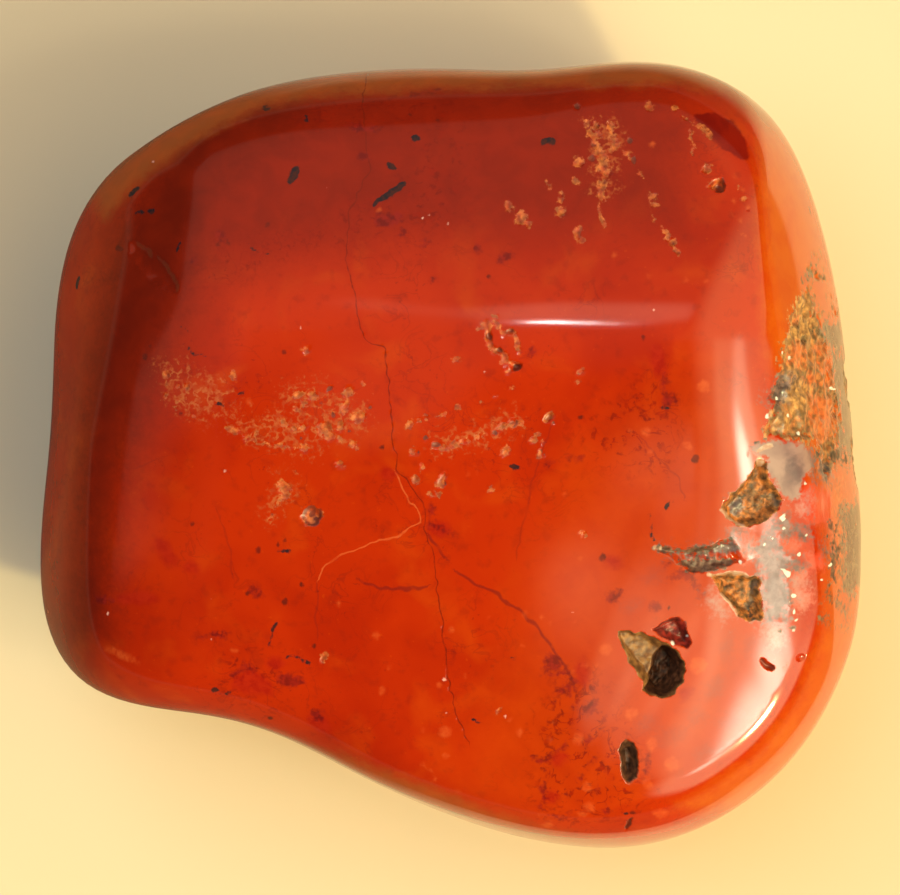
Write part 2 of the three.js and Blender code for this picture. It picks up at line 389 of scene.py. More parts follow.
marks = {
    "maroon": {
        "areas": [
            [(-13.6, 1.0), (-13.6, 9.0), (-11.0, 13.6), (-5.0, 16.2), (2.0, 16.6), (9.0, 16.0), (11.2, 14.0),
             (10.2, 12.4), (9.6, 9.4), (6.0, 9.2), (2.0, 9.0), (-2.0, 9.0), (-6.0, 8.8), (-9.5, 7.4),
             (-11.6, 4.0), (-12.8, 0.5)],
        ],
    },
    # darker red along the left bevel: partly the stone's own darker edge, partly painted shade where the side
    # turns from the key lamp
    "oxbloodShade": {
        "areas": [
            [(-15.8, -7.6), (-15.4, 2.0), (-13.8, 9.6), (-11.0, 13.8), (-6.0, 15.6), (-6.0, 13.6),
             (-9.0, 11.6), (-10.4, 9.4), (-11.6, 6.0), (-12.8, 2.0), (-13.7, -2.0), (-14.1, -7.6)],
        ],
    },
    # painted light: the right side, facing the key lamp and reflecting the lit table, drawn a brighter orange
    "paintedSunlitSide": {
        "areas": [
            [(13.0, 15.0), (13.1, 9.0), (13.4, 4.0), (14.4, 1.0), (15.6, -3.0), (15.6, -7.0), (14.6, -10.0),
             (12.6, -12.6), (9.6, -14.6), (14.0, -15.0), (19.0, -10.0), (20.0, 10.0), (15.0, 15.0)],
        ],
    },
    "warm": {
        "areas": [
            [(4.0, -3.0), (6.5, 1.0), (11.0, 4.0), (13.5, 1.0), (14.0, -6.0), (12.0, -11.0), (9.0, -14.5),
             (5.0, -15.8), (0.0, -14.0), (2.5, -8.0)],
        ],
    },
    # painted reflection and shade: the rim at the far and near edge, where the side reflects the table and
    # turns into shade, drawn brown
    "rimReflectionAndShade": {
        "areas": [
            [(-14.3, 9.9), (-13.5, 10.9), (-12.15, 12.05), (-10.8, 13.1), (-9.3, 13.85), (-7.65, 14.65),
             (-5.65, 15.05), (-3.0, 15.25), (0.35, 15.35), (3.0, 15.5), (6.2, 15.5), (9.5, 15.6),
             (11.6, 15.2), (13.2, 13.6), (15.5, 15.0), (12.0, 19.0), (-6.0, 19.0), (-16.0, 14.0)],
            [(-8.5, -11.2), (-4.6, -12.4), (-1.3, -13.6), (1.2, -14.6), (4.5, -15.7), (7.5, -16.2),
             (10.0, -15.8), (11.0, -19.0), (0.0, -19.0), (-10.0, -14.0)],
        ],
    },
    "mottle": {
        "areas": [
            [(3.6, -11.0), (4.4, -9.4), (6.0, -9.0), (7.0, -10.5), (7.6, -11.8), (8.6, -13.9), (7.6, -15.2),
             (5.0, -15.6), (3.6, -14.6)],
            [(-9.8, -7.0), (-7.5, -8.0), (-6.0, -8.9), (-7.3, -10.3), (-9.4, -9.9)],
            [(-6.5, 13.6), (-1.0, 14.0), (-1.5, 11.8), (-5.0, 10.4), (-9.0, 8.6), (-10.6, 7.4), (-10.1, 6.6),
             (-6.0, 8.6), (-2.5, 9.3), (0.5, 9.6), (1.0, 12.0), (0.0, 15.0), (-5.0, 15.0)],
            [(7.6, 3.0), (9.0, 4.2), (9.8, 2.2), (9.2, -1.0), (6.4, -0.4), (5.0, 1.0)],
        ],
    },
    "fleck": {
        "ovals": [
            (-7.6, 14.5, 0.18, 0.07, 10), (-5.85, 14.1, 0.25, 0.07, -65), (-6.5, 11.75, 0.42, 0.17, 60),
            (-13.05, 11.05, 0.25, 0.1, 45), (-11.25, 8.8, 0.28, 0.06, 75), (-12.9, 10.15, 0.2, 0.05, 0),
            (-12.35, 10.15, 0.15, 0.08, 0), (-15.45, 7.2, 0.25, 0.1, 80), (-1.35, 13.3, 0.2, 0.12, 0),
            (-2.35, 12.1, 0.25, 0.12, -30), (-2.4, 11.0, 0.85, 0.13, 34), (4.15, 13.1, 0.3, 0.15, 10),
            (-9.5, 2.15, 0.15, 0.08, 0), (-8.55, 2.7, 0.2, 0.06, 20), (-6.75, -4.0, 0.3, 0.08, 0),
            (9.05, -2.0, 0.25, 0.1, 65), (2.75, -8.4, 0.13, 0.06, -20), (1.2, -11.0, 0.2, 0.04, -30),
            (-7.27, -7.05, 0.25, 0.07, 55), (-9.75, -9.65, 0.16, 0.08, 0), (-9.2, -9.8, 0.15, 0.05, 10),
            (2.7, -0.4, 0.25, 0.08, 0), (-5.9, -8.5, 0.15, 0.09, -40),
        ],
        "strokes": [
            (0.035, [(-8.4, 8.9), (-7.8, 8.55), (-7.3, 8.4)]),
            (0.04, [(-10.8, 4.5), (-10.5, 4.25), (-10.1, 4.15)]),
            (0.035, [(-11.2, 5.4), (-10.8, 5.15)]),
            (0.03, [(-7.4, -7.3), (-7.4, -7.7), (-7.5, -7.95)]),
            (0.04, [(-6.8, -8.4), (-6.5, -8.3), (-6.2, -8.4), (-5.95, -8.6)]),
            (0.035, [(8.9, 2.1), (9.3, 2.0)]),
            (0.03, [(7.15, -14.9), (7.5, -14.85)]),
            (0.03, [(8.45, -2.4), (8.45, -3.2), (8.6, -3.6)]),
        ],
    },
    "speck": {
        "spots": [
            (-9.1, 8.9, 0.09), (-9.6, 8.85, 0.08), (-13.75, 8.65, 0.12), (-7.6, 9.7, 0.1),
            (-0.4, 14.0, 0.08), (-1.6, 14.2, 0.08), (-12.65, 4.1, 0.13), (-12.4, 4.6, 0.08),
            (-6.8, 4.35, 0.1), (-11.7, 3.0, 0.08), (-11.2, 1.75, 0.08), (-10.7, -2.8, 0.08),
            (-7.85, -3.9, 0.1), (-7.05, -3.7, 0.09), (-6.75, -3.5, 0.08), (-6.1, -5.3, 0.11),
            (10.3, -0.1, 0.15), (9.35, -1.85, 0.08), (8.15, 5.0, 0.1), (5.5, 1.6, 0.11),
            (6.4, -4.2, 0.14), (-2.75, 0.4, 0.1), (-7.4, -10.9, 0.11), (2.7, -6.9, 0.06),
            (1.65, 7.5, 0.11), (-6.8, -6.05, 0.13), (-5.65, -7.9, 0.1), (7.7, -14.8, 0.08),
            (9.2, -6.3, 0.07), (-8.3, -5.65, 0.12),
        ],
    },
    "stain": {
        "ovals": [
            (-3.55, 13.7, 0.65, 0.17, -10), (-3.5, 12.55, 0.3, 0.14, 10), (-2.5, 9.9, 0.6, 0.28, 10),
            (2.4, 8.3, 0.35, 0.2, 20), (-6.5, -9.3, 0.55, 0.19, -12), (-5.5, -10.8, 0.35, 0.2, -40),
            (-9.5, -7.45, 0.32, 0.14, 10), (-14.4, -6.0, 0.4, 0.2, 0), (4.4, -8.6, 0.35, 0.25, -30),
            (4.25, -9.05, 0.3, 0.13, 0), (4.75, -9.02, 0.3, 0.08, 0), (8.6, -6.2, 0.3, 0.18, 40),
            (5.4, -0.05, 0.3, 0.08, 10), (-10.3, -7.5, 0.2, 0.06, 0),
            (9.9, -4.9, 0.36, 0.18, -30), (10.35, -5.35, 0.3, 0.18, -60), (9.5, -5.0, 0.2, 0.1, 0),
            (10.55, -5.75, 0.2, 0.12, 40), (9.2, -4.5, 0.22, 0.1, 20),
        ],
        "spots": [
            (-0.6, 7.35, 0.12), (-1.9, 9.3, 0.15), (-0.9, 8.85, 0.14), (1.2, 8.65, 0.14),
            (-0.7, -2.15, 0.14), (3.5, 4.4, 0.14), (4.9, -9.65, 0.2), (4.6, -9.75, 0.14),
            (5.15, -9.3, 0.13), (5.8, -10.5, 0.24), (6.05, -10.2, 0.14), (5.8, -11.8, 0.16),
            (5.8, -12.8, 0.14), (6.1, -12.5, 0.1), (-9.4, 9.15, 0.2), (-10.6, 8.2, 0.12),
            (-9.95, 7.6, 0.12), (-8.45, -8.7, 0.14), (-8.15, -8.85, 0.12), (6.9, -5.9, 0.24),
            (4.3, -10.2, 0.1), (5.3, -9.7, 0.08), (5.05, -11.2, 0.12),
            (6.3, -11.4, 0.1), (6.5, -10.8, 0.08), (5.5, -13.4, 0.12), (6.2, -13.9, 0.1),
            (4.9, -14.1, 0.1), (6.6, -13.2, 0.08), (4.2, -11.7, 0.08), (6.0, -9.6, 0.09),
            (7.1, -5.65, 0.14), (-7.9, -5.75, 0.15), (-8.1, -5.5, 0.18), (6.6, -14.8, 0.16),
        ],
        "strokes": [
            (0.05, [(-1.4, 15.05), (-0.9, 15.15), (-0.4, 15.2)]),
            (0.05, [(4.1, -0.4), (4.5, -0.1), (5.4, 0.0)]),
            (0.07, [(-0.8, -2.75), (-0.4, -2.9), (0.0, -3.1), (0.3, -3.3)]),
            (0.06, [(-8.95, -9.2), (-8.75, -8.9), (-8.5, -8.68)]),
            (0.06, [(3.85, -14.7), (4.1, -14.2), (3.95, -13.7)]),
            (0.05, [(4.15, -13.3), (4.0, -12.9), (4.3, -12.6)]),
            (0.05, [(4.3, -15.0), (4.8, -15.15), (5.1, -14.95)]),
            (0.07, [(3.6, -12.6), (3.95, -12.8), (4.3, -12.4), (4.9, -12.1)]),
            (0.06, [(5.15, -10.4), (5.4, -10.6), (6.0, -10.3)]),
            (0.05, [(8.3, -12.4), (8.42, -12.9), (8.1, -13.45)]),
        ],
        "areas": [
            [(8.95, 3.7), (9.25, 3.0), (9.6, 2.2), (9.0, 2.1)],
        ],
    },
    "lens": {
        "areas": [
            [(10.2, 14.3), (10.9, 14.4), (11.85, 14.0), (12.3, 13.4), (12.6, 12.46), (12.15, 12.4),
             (11.6, 12.65), (10.85, 13.4), (10.5, 13.9)],
        ],
    },
    # painted reflection: a pale pinkish haze of the bright side over the lower right shoulder
    "paintedHaze": {
        "ovals": [
            (11.65, -8.0, 0.5, 0.2, 80), (8.3, -11.2, 0.4, 0.25, 10), (11.1, -9.6, 0.45, 0.3, 60),
            (9.3, -11.6, 0.6, 0.28, 15), (11.9, -11.0, 0.6, 0.35, 40), (5.7, -10.5, 0.35, 0.25, 0),
            (8.7, -4.9, 0.4, 0.25, 30), (10.9, -12.3, 0.5, 0.2, 20), (7.6, -6.2, 0.35, 0.2, 0),
            (12.6, -7.9, 0.4, 0.25, 70), (10.4, -10.8, 0.3, 0.2, 0),
        ],
    },
    "deepRed": {
        "areas": [
            [(-8.9, -9.2), (-8.6, -8.8), (-8.2, -8.8), (-7.9, -8.95), (-7.3, -9.4), (-7.3, -9.9),
             (-8.0, -10.0), (-9.0, -9.6)],
        ],
        "ovals": [
            (-7.2, -8.6, 0.4, 0.28, 0), (-11.8, -3.95, 0.7, 0.3, -50), (-10.7, -4.6, 0.4, 0.25, 0),
            (6.9, -4.4, 0.45, 0.25, -20), (4.35, -14.2, 0.3, 0.25, 40), (-2.5, -0.7, 0.35, 0.25, 0),
            (-0.3, -3.0, 0.5, 0.35, -20), (9.9, -9.9, 0.35, 0.2, 50), (8.8, 4.0, 0.3, 0.7, 10),
            (5.6, -9.0, 0.3, 0.6, 0), (4.6, -12.6, 0.4, 0.3, 20), (-5.4, -11.1, 0.6, 0.25, -35),
            (-13.0, -5.9, 0.9, 0.25, 0),
        ],
    },
    "frost": {
        "areas": [
            [(-12.0, 3.6), (-11.2, 3.9), (-10.4, 3.3), (-9.3, 3.1), (-8.8, 2.2), (-9.6, 1.7), (-11.0, 1.8),
             (-11.7, 2.6)],
            [(-9.0, 1.6), (-8.0, 1.5), (-7.0, 1.9), (-6.2, 1.6), (-5.6, 0.9), (-5.5, 0.1), (-6.4, 0.1),
             (-7.6, 0.4), (-8.6, 0.8)],
            [(-6.8, 2.8), (-5.5, 3.0), (-4.6, 2.4), (-3.6, 2.1), (-3.4, 1.3), (-4.4, 0.6), (-5.4, 1.0),
             (-6.2, 1.9)],
            [(-7.1, -0.9), (-6.5, -1.0), (-6.3, -1.6), (-6.8, -2.1), (-7.4, -2.7), (-7.6, -2.2),
             (-7.3, -1.5)],
            [(-0.6, 0.9), (0.6, 1.0), (1.8, 1.4), (2.8, 1.7), (2.9, 1.2), (1.6, 0.7), (0.2, 0.2),
             (-0.5, 0.3)],
            [(6.0, 13.9), (6.9, 13.9), (7.3, 13.0), (6.9, 12.0), (6.7, 10.9), (6.2, 11.2), (6.2, 12.6)],
        ],
    },
    "amber": {
        "spots": [
            (2.55, 10.4, 0.18), (3.0, 9.95, 0.28), (3.3, 9.75, 0.15), (4.75, 10.7, 0.13),
            (4.7, 10.2, 0.22), (4.75, 11.0, 0.1), (4.15, 11.5, 0.1), (4.2, 11.3, 0.09),
            (5.3, 11.5, 0.12), (5.4, 12.3, 0.22), (5.35, 9.4, 0.15), (5.5, 9.0, 0.18),
            (6.1, 13.8, 0.13), (6.2, 13.4, 0.17), (6.8, 13.8, 0.11), (6.8, 13.3, 0.14),
            (7.0, 13.0, 0.17), (6.5, 12.4, 0.14), (6.6, 12.2, 0.13), (6.7, 11.9, 0.14),
            (6.3, 11.9, 0.11), (6.3, 11.4, 0.14), (6.5, 11.2, 0.13), (6.4, 10.7, 0.11),
            (8.35, 14.55, 0.18), (9.4, 14.55, 0.12), (10.76, 12.0, 0.18), (8.6, 10.9, 0.11),
            (8.65, 10.5, 0.12), (8.6, 10.0, 0.1), (9.05, 9.4, 0.14), (9.1, 9.1, 0.12),
            (9.35, 8.9, 0.19), (9.6, 8.5, 0.11), (12.1, 11.3, 0.07), (12.3, 10.8, 0.07),
            (12.5, 10.3, 0.07), (-11.8, 3.4, 0.12), (-11.3, 2.9, 0.1), (-11.8, 2.5, 0.11),
            (-11.3, 2.3, 0.09), (-11.3, 2.0, 0.08), (-10.9, 2.9, 0.11), (-10.9, 2.4, 0.09),
            (-10.6, 1.7, 0.1), (-8.9, 3.5, 0.13), (-8.4, 0.7, 0.13), (-8.0, 0.95, 0.11),
            (-6.8, 1.4, 0.17), (-6.4, 1.2, 0.13), (-6.0, 1.3, 0.15), (-6.2, 2.6, 0.15),
            (-6.3, 2.0, 0.11), (-5.85, 4.4, 0.17), (-5.65, 2.55, 0.2), (-6.0, 2.25, 0.15),
            (-5.5, 2.1, 0.12), (-4.15, 2.65, 0.24), (-3.6, 3.05, 0.1), (-4.3, 1.95, 0.22),
            (-3.65, 1.65, 0.26), (-4.0, 1.5, 0.1), (-5.2, 1.2, 0.28), (-5.0, 0.85, 0.22),
            (-4.5, 1.3, 0.22), (-4.55, 0.7, 0.16), (-3.85, 0.5, 0.14), (-4.45, -0.3, 0.2),
            (-5.9, 0.3, 0.2), (-1.55, 1.25, 0.18), (-1.2, 1.5, 0.13), (-0.9, 1.65, 0.11),
            (0.4, 2.05, 0.1), (1.4, 2.3, 0.09), (2.0, 2.6, 0.11), (2.7, 2.8, 0.09),
            (-0.2, 0.35, 0.18), (0.6, 0.6, 0.13), (0.8, 0.65, 0.11), (1.2, 0.8, 0.13),
            (1.5, 0.9, 0.11), (2.1, 1.1, 0.12), (2.3, 1.25, 0.13), (2.7, 1.35, 0.2),
            (3.0, 1.4, 0.11), (-1.5, 0.2, 0.14), (2.35, 0.25, 0.2), (3.5, 0.7, 0.16),
            (3.7, 0.9, 0.11), (3.9, 0.55, 0.11), (5.5, 3.5, 0.12), (0.3, 4.1, 0.13),
            (-1.1, -0.4, 0.13), (-1.35, -0.9, 0.17), (-0.75, -1.55, 0.13), (-0.45, -1.55, 0.1),
            (1.8, -1.35, 0.13), (5.6, -3.2, 0.13), (1.5, 5.6, 0.13), (1.9, 5.9, 0.12),
            (1.3, 5.3, 0.1), (2.3, 4.0, 0.13), (2.5, 3.6, 0.1),
        ],
        "ovals": [
            (9.8, 14.2, 0.2, 0.09, -30), (5.44, 9.33, 0.34, 0.16, 80), (5.44, 12.3, 0.24, 0.16, 0),
            (4.7, 10.2, 0.24, 0.2, 0), (-5.65, -2.5, 0.42, 0.36, 30), (11.2, 11.36, 0.3, 0.26, 0),
            (4.15, 1.7, 0.26, 0.14, 50), (-0.3, -0.95, 0.33, 0.13, 70),
            (3.85, 0.1, 0.22, 0.08, 70), (0.2, 0.4, 0.28, 0.12, 30), (5.4, 3.05, 0.18, 0.08, 20),
            (-6.75, -1.4, 0.45, 0.28, 100), (2.1, -10.6, 0.18, 0.06, 60), (-5.2, -8.4, 0.2, 0.13, 60),
        ],
        "strokes": [
            (0.06, [(-9.2, 1.2), (-8.5, 0.9), (-7.8, 0.5), (-7.0, 0.4), (-6.0, 0.2)]),
            (0.05, [(-0.5, 1.65), (-0.1, 1.85)]),
            (0.05, [(10.2, 14.0), (10.7, 13.7), (11.0, 13.4)]),
            (0.05, [(10.1, 13.6), (10.12, 13.1), (10.15, 12.6)]),
            (0.06, [(-6.9, -1.8), (-7.1, -2.1), (-7.4, -2.6)]),
            (0.05, [(6.3, 10.4), (6.35, 10.0), (6.5, 9.6)]),
            (0.13, [(5.7, 13.9), (6.15, 12.95), (6.45, 12.25), (6.6, 11.75), (6.35, 10.8)]),
            (0.1, [(6.7, 13.85), (6.8, 13.4), (7.0, 13.0), (6.8, 12.7)]),
            (0.04, [(7.35, 12.7), (8.1, 11.7), (8.45, 10.8), (8.55, 9.9)]),
            (0.08, [(8.95, 9.6), (9.3, 8.9), (9.6, 8.4)]),
            (0.05, [(10.0, 14.0), (10.5, 13.75), (10.95, 13.3)]),
            (0.12, [(1.6, 5.6), (1.67, 5.04), (1.77, 4.67), (2.13, 4.42), (2.4, 4.13), (2.75, 3.8)]),
            (0.09, [(1.94, 5.8), (2.19, 5.3), (2.35, 5.1), (2.6, 5.17), (2.85, 4.9), (2.94, 4.4)]),
        ],
    },
    "shade": {
        "spots": [
            (6.0, 13.0, 0.11), (6.0, 12.4, 0.12), (7.6, 13.2, 0.11), (7.7, 12.4, 0.13), (5.4, 14.6, 0.12),
            (-0.95, 0.8, 0.12), (1.9, 0.95, 0.1), (-1.25, 0.2, 0.09), (4.35, 1.45, 0.08),
            (-0.15, -1.05, 0.08), (-5.68, -2.45, 0.13), (-4.9, 2.8, 0.12), (-5.3, 2.2, 0.08),
            (-4.05, 1.1, 0.09), (-3.3, 2.1, 0.08), (-4.85, 1.75, 0.09), (-6.05, 0.75, 0.08),
        ],
        "strokes": [
            (0.06, [(-5.35, -2.2), (-5.28, -2.5), (-5.4, -2.78), (-5.65, -2.88), (-5.95, -2.75),
                    (-6.0, -2.45), (-5.9, -2.2), (-5.6, -2.12)]),
            (0.05, [(11.45, 11.55), (11.58, 11.3), (11.45, 11.05), (11.2, 11.02)]),
            (0.05, [(2.75, 1.2), (2.88, 1.35), (2.8, 1.5)]),
            (0.05, [(3.9, 0.25), (3.98, 0.0)]),
        ],
        "ovals": [
            (-0.5, 0.52, 0.22, 0.12, 0), (2.84, 3.7, 0.2, 0.13, 10), (1.7, 5.0, 0.14, 0.13, 0),
            (2.16, 4.46, 0.11, 0.11, 0), (2.62, 5.17, 0.08, 0.08, 0), (7.5, -15.38, 0.3, 0.1, 60),
            (-5.5, -2.65, 0.12, 0.1, 0), (-5.6, -2.3, 0.07, 0.07, 0), (11.35, 11.22, 0.16, 0.13, -40),
            (13.3, -8.65, 0.3, 0.1, -38),
        ],
    },
    "pale": {
        "spots": [
            (12.0, 11.7, 0.08), (12.3, 11.2, 0.09), (12.0, 10.7, 0.08), (12.5, 10.4, 0.1), (11.8, 10.2, 0.08),
            (12.2, 9.8, 0.1), (12.4, 9.2, 0.07), (8.5, 13.0, 0.13), (9.9, 7.4, 0.14), (8.4, 7.55, 0.12),
            (6.9, 8.4, 0.1), (10.7, 7.3, 0.1),
            (10.65, 2.95, 0.27), (8.2, 1.0, 0.18), (7.55, 1.0, 0.08), (0.8, -0.7, 0.08),
            (1.15, -0.6, 0.08), (0.9, -1.7, 0.08), (3.6, 4.8, 0.08), (3.4, 3.9, 0.08),
            (-8.3, 2.35, 0.08), (-7.25, 2.15, 0.08), (-4.5, -6.1, 0.1), (-2.45, -8.8, 0.07),
            (-2.8, -9.8, 0.15), (-5.55, -9.5, 0.06), (-0.35, -9.55, 0.15), (0.7, -9.15, 0.08),
            (-1.05, -11.4, 0.12), (-0.1, -11.5, 0.22), (-0.1, -12.4, 0.12), (-1.1, -12.8, 0.1),
            (-3.55, -12.7, 0.07), (-0.75, -13.1, 0.1), (-0.55, -13.5, 0.08), (0.1, -7.25, 0.1),
            (2.2, -7.9, 0.08), (3.15, -6.6, 0.1), (3.9, -6.6, 0.13), (5.3, -6.9, 0.07),
            (4.3, -6.9, 0.08), (2.6, -10.95, 0.07), (3.0, -11.5, 0.17), (4.2, -11.8, 0.1),
            (4.4, -11.1, 0.06), (5.7, -8.65, 0.13), (5.2, -9.05, 0.06), (3.1, -7.9, 0.1),
            (5.5, -10.25, 0.12), (5.4, -11.8, 0.24), (5.8, -13.8, 0.22), (5.9, -14.6, 0.24),
            (5.6, -14.9, 0.14), (5.1, -15.4, 0.06), (8.35, -13.6, 0.2), (6.2, -8.65, 0.1),
            (6.6, -8.0, 0.26), (7.7, -10.8, 0.26), (8.5, -12.0, 0.26), (9.4, -12.8, 0.3),
            (-2.8, 10.3, 0.08), (4.9, -1.6, 0.08), (8.4, 0.2, 0.08), (5.5, -4.2, 0.1),
            (7.1, -0.9, 0.07), (5.2, -2.6, 0.07), (-3.0, -7.45, 0.15), (1.65, -6.7, 0.1),
            (3.8, -14.9, 0.08), (10.4, -8.7, 0.35), (10.0, 0.45, 0.2), (-8.95, -8.05, 0.1),
        ],
        "ovals": [
            (4.2, -15.35, 0.26, 0.1, 0), (8.8, -14.9, 0.35, 0.17, 0), (0.45, -14.0, 0.17, 0.07, -20),
            (-13.6, -8.3, 0.8, 0.12, -25),
        ],
    },
    # painted highlights: tiny pinkish-white glints in small pits and on the polish
    "paintedPinkGlint": {
        "spots": [
            (-9.3, -0.65, 0.08), (-5.1, 11.2, 0.06), (-1.0, 9.95, 0.06), (-0.75, 10.1, 0.05),
            (0.05, 9.75, 0.06), (-12.25, 12.25, 0.05), (-0.1, -9.27, 0.08), (2.4, -10.8, 0.06),
            (5.2, -6.4, 0.05), (-9.85, -7.7, 0.05), (-9.9, -5.95, 0.04), (1.6, 3.5, 0.05),
            (8.6, 6.15, 0.05), (-6.1, 5.4, 0.05), (-0.1, -10.65, 0.04), (-14.2, -6.6, 0.07),
        ],
    },
    "crust": {
        "areas": [
            [(15.0, 7.3), (14.7, 6.6), (14.2, 5.6), (13.95, 4.4), (13.7, 3.3), (13.4, 2.7), (13.5, 1.7),
             (13.2, 1.3), (13.0, 0.8), (13.7, 0.9), (14.5, 0.7), (15.3, 0.7), (15.5, -0.2), (15.7, -0.9),
             (16.1, -0.5), (16.3, 1.2), (16.2, 2.8), (15.9, 4.2), (15.6, 5.4), (15.3, 6.3)],
        ],
        "spots": [(15.1, 7.75, 0.2), (15.45, 7.5, 0.15), (15.35, 8.3, 0.1), (16.3, 6.2, 0.14),
                  (16.0, 6.9, 0.1), (15.8, 6.1, 0.12)],
    },
    "gold": {
        "areas": [
            [(14.7, 6.6), (14.2, 5.6), (14.0, 4.4), (14.2, 3.7), (14.7, 3.5), (15.2, 4.4), (15.3, 5.6),
             (15.1, 6.4)],
            [(14.1, 3.1), (14.7, 3.3), (15.2, 2.9), (15.1, 2.1), (14.5, 1.8), (14.0, 2.2)],
            [(13.5, 1.9), (14.0, 1.9), (14.2, 1.3), (13.6, 1.1)],
        ],
        "spots": [(14.75, 6.5, 0.18), (13.3, 0.75, 0.12), (13.0, 0.6, 0.09), (14.9, 0.5, 0.2)],
    },
    "matrix": {
        "areas": [
            [(13.4, 2.8), (13.7, 3.3), (14.3, 3.4), (14.6, 3.1), (14.2, 2.5), (13.9, 2.0), (13.4, 2.1)],
            [(12.9, -3.3), (13.4, -2.9), (13.8, -2.4), (14.3, -2.7), (15.0, -2.9), (15.2, -3.4), (14.6, -3.4),
             (13.9, -3.3), (13.7, -3.9), (14.3, -4.1), (14.9, -4.5), (14.0, -4.9), (14.3, -5.8), (14.1, -6.9),
             (13.3, -6.9), (13.0, -6.0), (12.95, -4.8), (12.8, -4.0)],
        ],
        "ovals": [(11.3, -3.9, 0.7, 0.2, 8), (9.7, -4.1, 0.5, 0.16, -12), (12.1, -2.12, 0.34, 0.3, 0),
                  (15.6, -0.6, 0.3, 0.5, 20)],
        "spots": [(12.2, -3.2, 0.14), (12.5, -3.9, 0.16), (11.9, -3.4, 0.1), (15.5, -3.6, 0.14),
                  (15.9, -4.0, 0.12)],
    },
    "edgeGrey": {
        "areas": [
            [(15.3, 5.2), (15.7, 5.0), (16.1, 4.0), (16.2, 2.7), (16.3, 1.4), (16.2, 0.3), (16.5, -0.3),
             (18.6, -0.3), (18.8, 2.0), (18.2, 4.4), (16.6, 5.6), (15.8, 5.7)],
            [(16.35, -2.1), (16.9, -2.0), (18.0, -3.2), (18.0, -4.6), (16.9, -5.7), (16.4, -5.6),
             (16.4, -4.0)],
        ],
        "spots": [(15.9, -5.9, 0.16), (16.6, -6.4, 0.16), (16.4, -7.0, 0.12), (15.6, -6.9, 0.1),
                  (16.2, -6.1, 0.1), (14.9, 4.9, 0.12), (14.6, 5.4, 0.1), (15.0, 7.6, 0.12)],
    },
    "ember": {
        "areas": [
            [(15.1, 2.5), (15.6, 2.6), (16.1, 2.2), (16.2, 1.3), (15.8, 0.6), (15.4, 0.5), (15.2, 1.3)],
            [(14.3, 4.6), (14.8, 4.9), (15.1, 4.3), (14.8, 3.7), (14.3, 3.9)],
        ],
        "spots": [(15.8, 3.7, 0.3), (15.55, 4.5, 0.2), (15.2, 3.3, 0.2), (15.9, 3.1, 0.2), (14.6, 5.7, 0.14)],
        "strokes": [(0.16, [(16.3, -0.9), (16.35, -2.2), (16.3, -3.8), (16.25, -5.4)])],
    },
    "chalcedony": {
        "areas": [
            [(12.6, 0.35), (12.95, 0.6), (13.7, 0.7), (14.1, 0.5), (14.6, 0.6), (15.1, 0.3),
             (15.3, -0.4), (14.8, -1.0), (14.6, -1.8), (14.2, -1.9), (13.8, -1.4), (13.4, -0.6),
             (13.2, -0.1), (12.9, 0.1)],
        ],
    },
    "heart": {
        "ovals": [(14.42, -0.5, 0.55, 0.26, -70)],
    },
    # painted sheen: the bright reflection, broken up at the rough right side, drawn as pale pink clouds
    "paintedSheen": {
        "ovals": [(14.6, -5.6, 0.75, 0.3, -75), (13.5, -7.4, 0.5, 0.25, -60), (14.9, -2.0, 0.3, 0.2, 40),
                  (12.5, -3.75, 0.3, 0.18, 30), (11.2, -6.2, 0.5, 0.16, -50)],
    },
    "ash": {
        "ovals": [(12.1, -2.12, 0.34, 0.3, 0), (11.55, -3.85, 0.5, 0.2, 8), (9.75, -4.1, 0.3, 0.09, -12)],
    },
    "cream": {
        "spots": [(8.6, -3.85, 0.08), (8.9, -3.9, 0.06)],
        "ovals": [(13.2, 0.3, 0.35, 0.14, 20), (13.05, -0.2, 0.22, 0.1, -70)],
        "strokes": [
            (0.07, [(10.9, -4.95), (11.55, -4.88), (12.45, -4.92)]),
            (0.07, [(11.4, -5.7), (11.75, -6.1), (12.0, -6.6)]),
            (0.06, [(11.4, -2.25), (11.8, -2.65), (12.3, -2.85)]),
        ],
    },
    "rose": {
        "areas": [
            [(14.8, -1.1), (15.5, -1.1), (16.0, -1.6), (16.0, -2.8), (15.3, -2.9), (14.6, -2.3)],
            [(11.7, -3.0), (12.5, -2.9), (13.0, -3.3), (12.9, -4.2), (12.3, -4.5), (11.9, -3.9)],
            [(13.8, -3.4), (14.4, -3.4), (14.8, -3.7), (14.3, -4.0), (13.9, -3.9)],
        ],
        "spots": [(15.3, -4.4, 0.4), (14.7, -4.9, 0.3), (14.7, -5.9, 0.5)],
    },
    "rust": {
        "areas": [
            pits["right pocket"]["outline"],
            pits["pocket below it"]["outline"],
        ],
    },
    "umber": {
        "areas": [
            [(8.4, -3.85), (9.0, -3.8), (10.0, -3.85), (10.9, -3.7), (11.3, -3.5), (11.9, -3.5),
             (11.4, -3.75), (10.9, -4.05), (10.2, -4.1), (9.7, -4.15), (9.2, -4.1)],
            [(9.6, -4.35), (10.4, -4.3), (11.2, -4.25), (12.2, -4.35), (11.6, -4.6), (10.7, -4.85),
             (10.2, -4.9), (9.75, -4.65)],
        ],
        "ovals": [(12.75, -6.0, 0.9, 0.09, 85), (13.65, -1.8, 0.3, 0.12, -50), (16.15, 0.0, 0.2, 0.28, 0)],
        "strokes": [
            (0.06, [(15.95, -2.7), (16.12, -3.2), (16.0, -3.7)]),
            (0.09, [(16.1, -4.1), (15.98, -4.6), (16.08, -5.1)]),
            (0.05, [(12.5, 0.1), (12.6, 0.35), (12.95, 0.66), (13.3, 0.72)]),
        ],
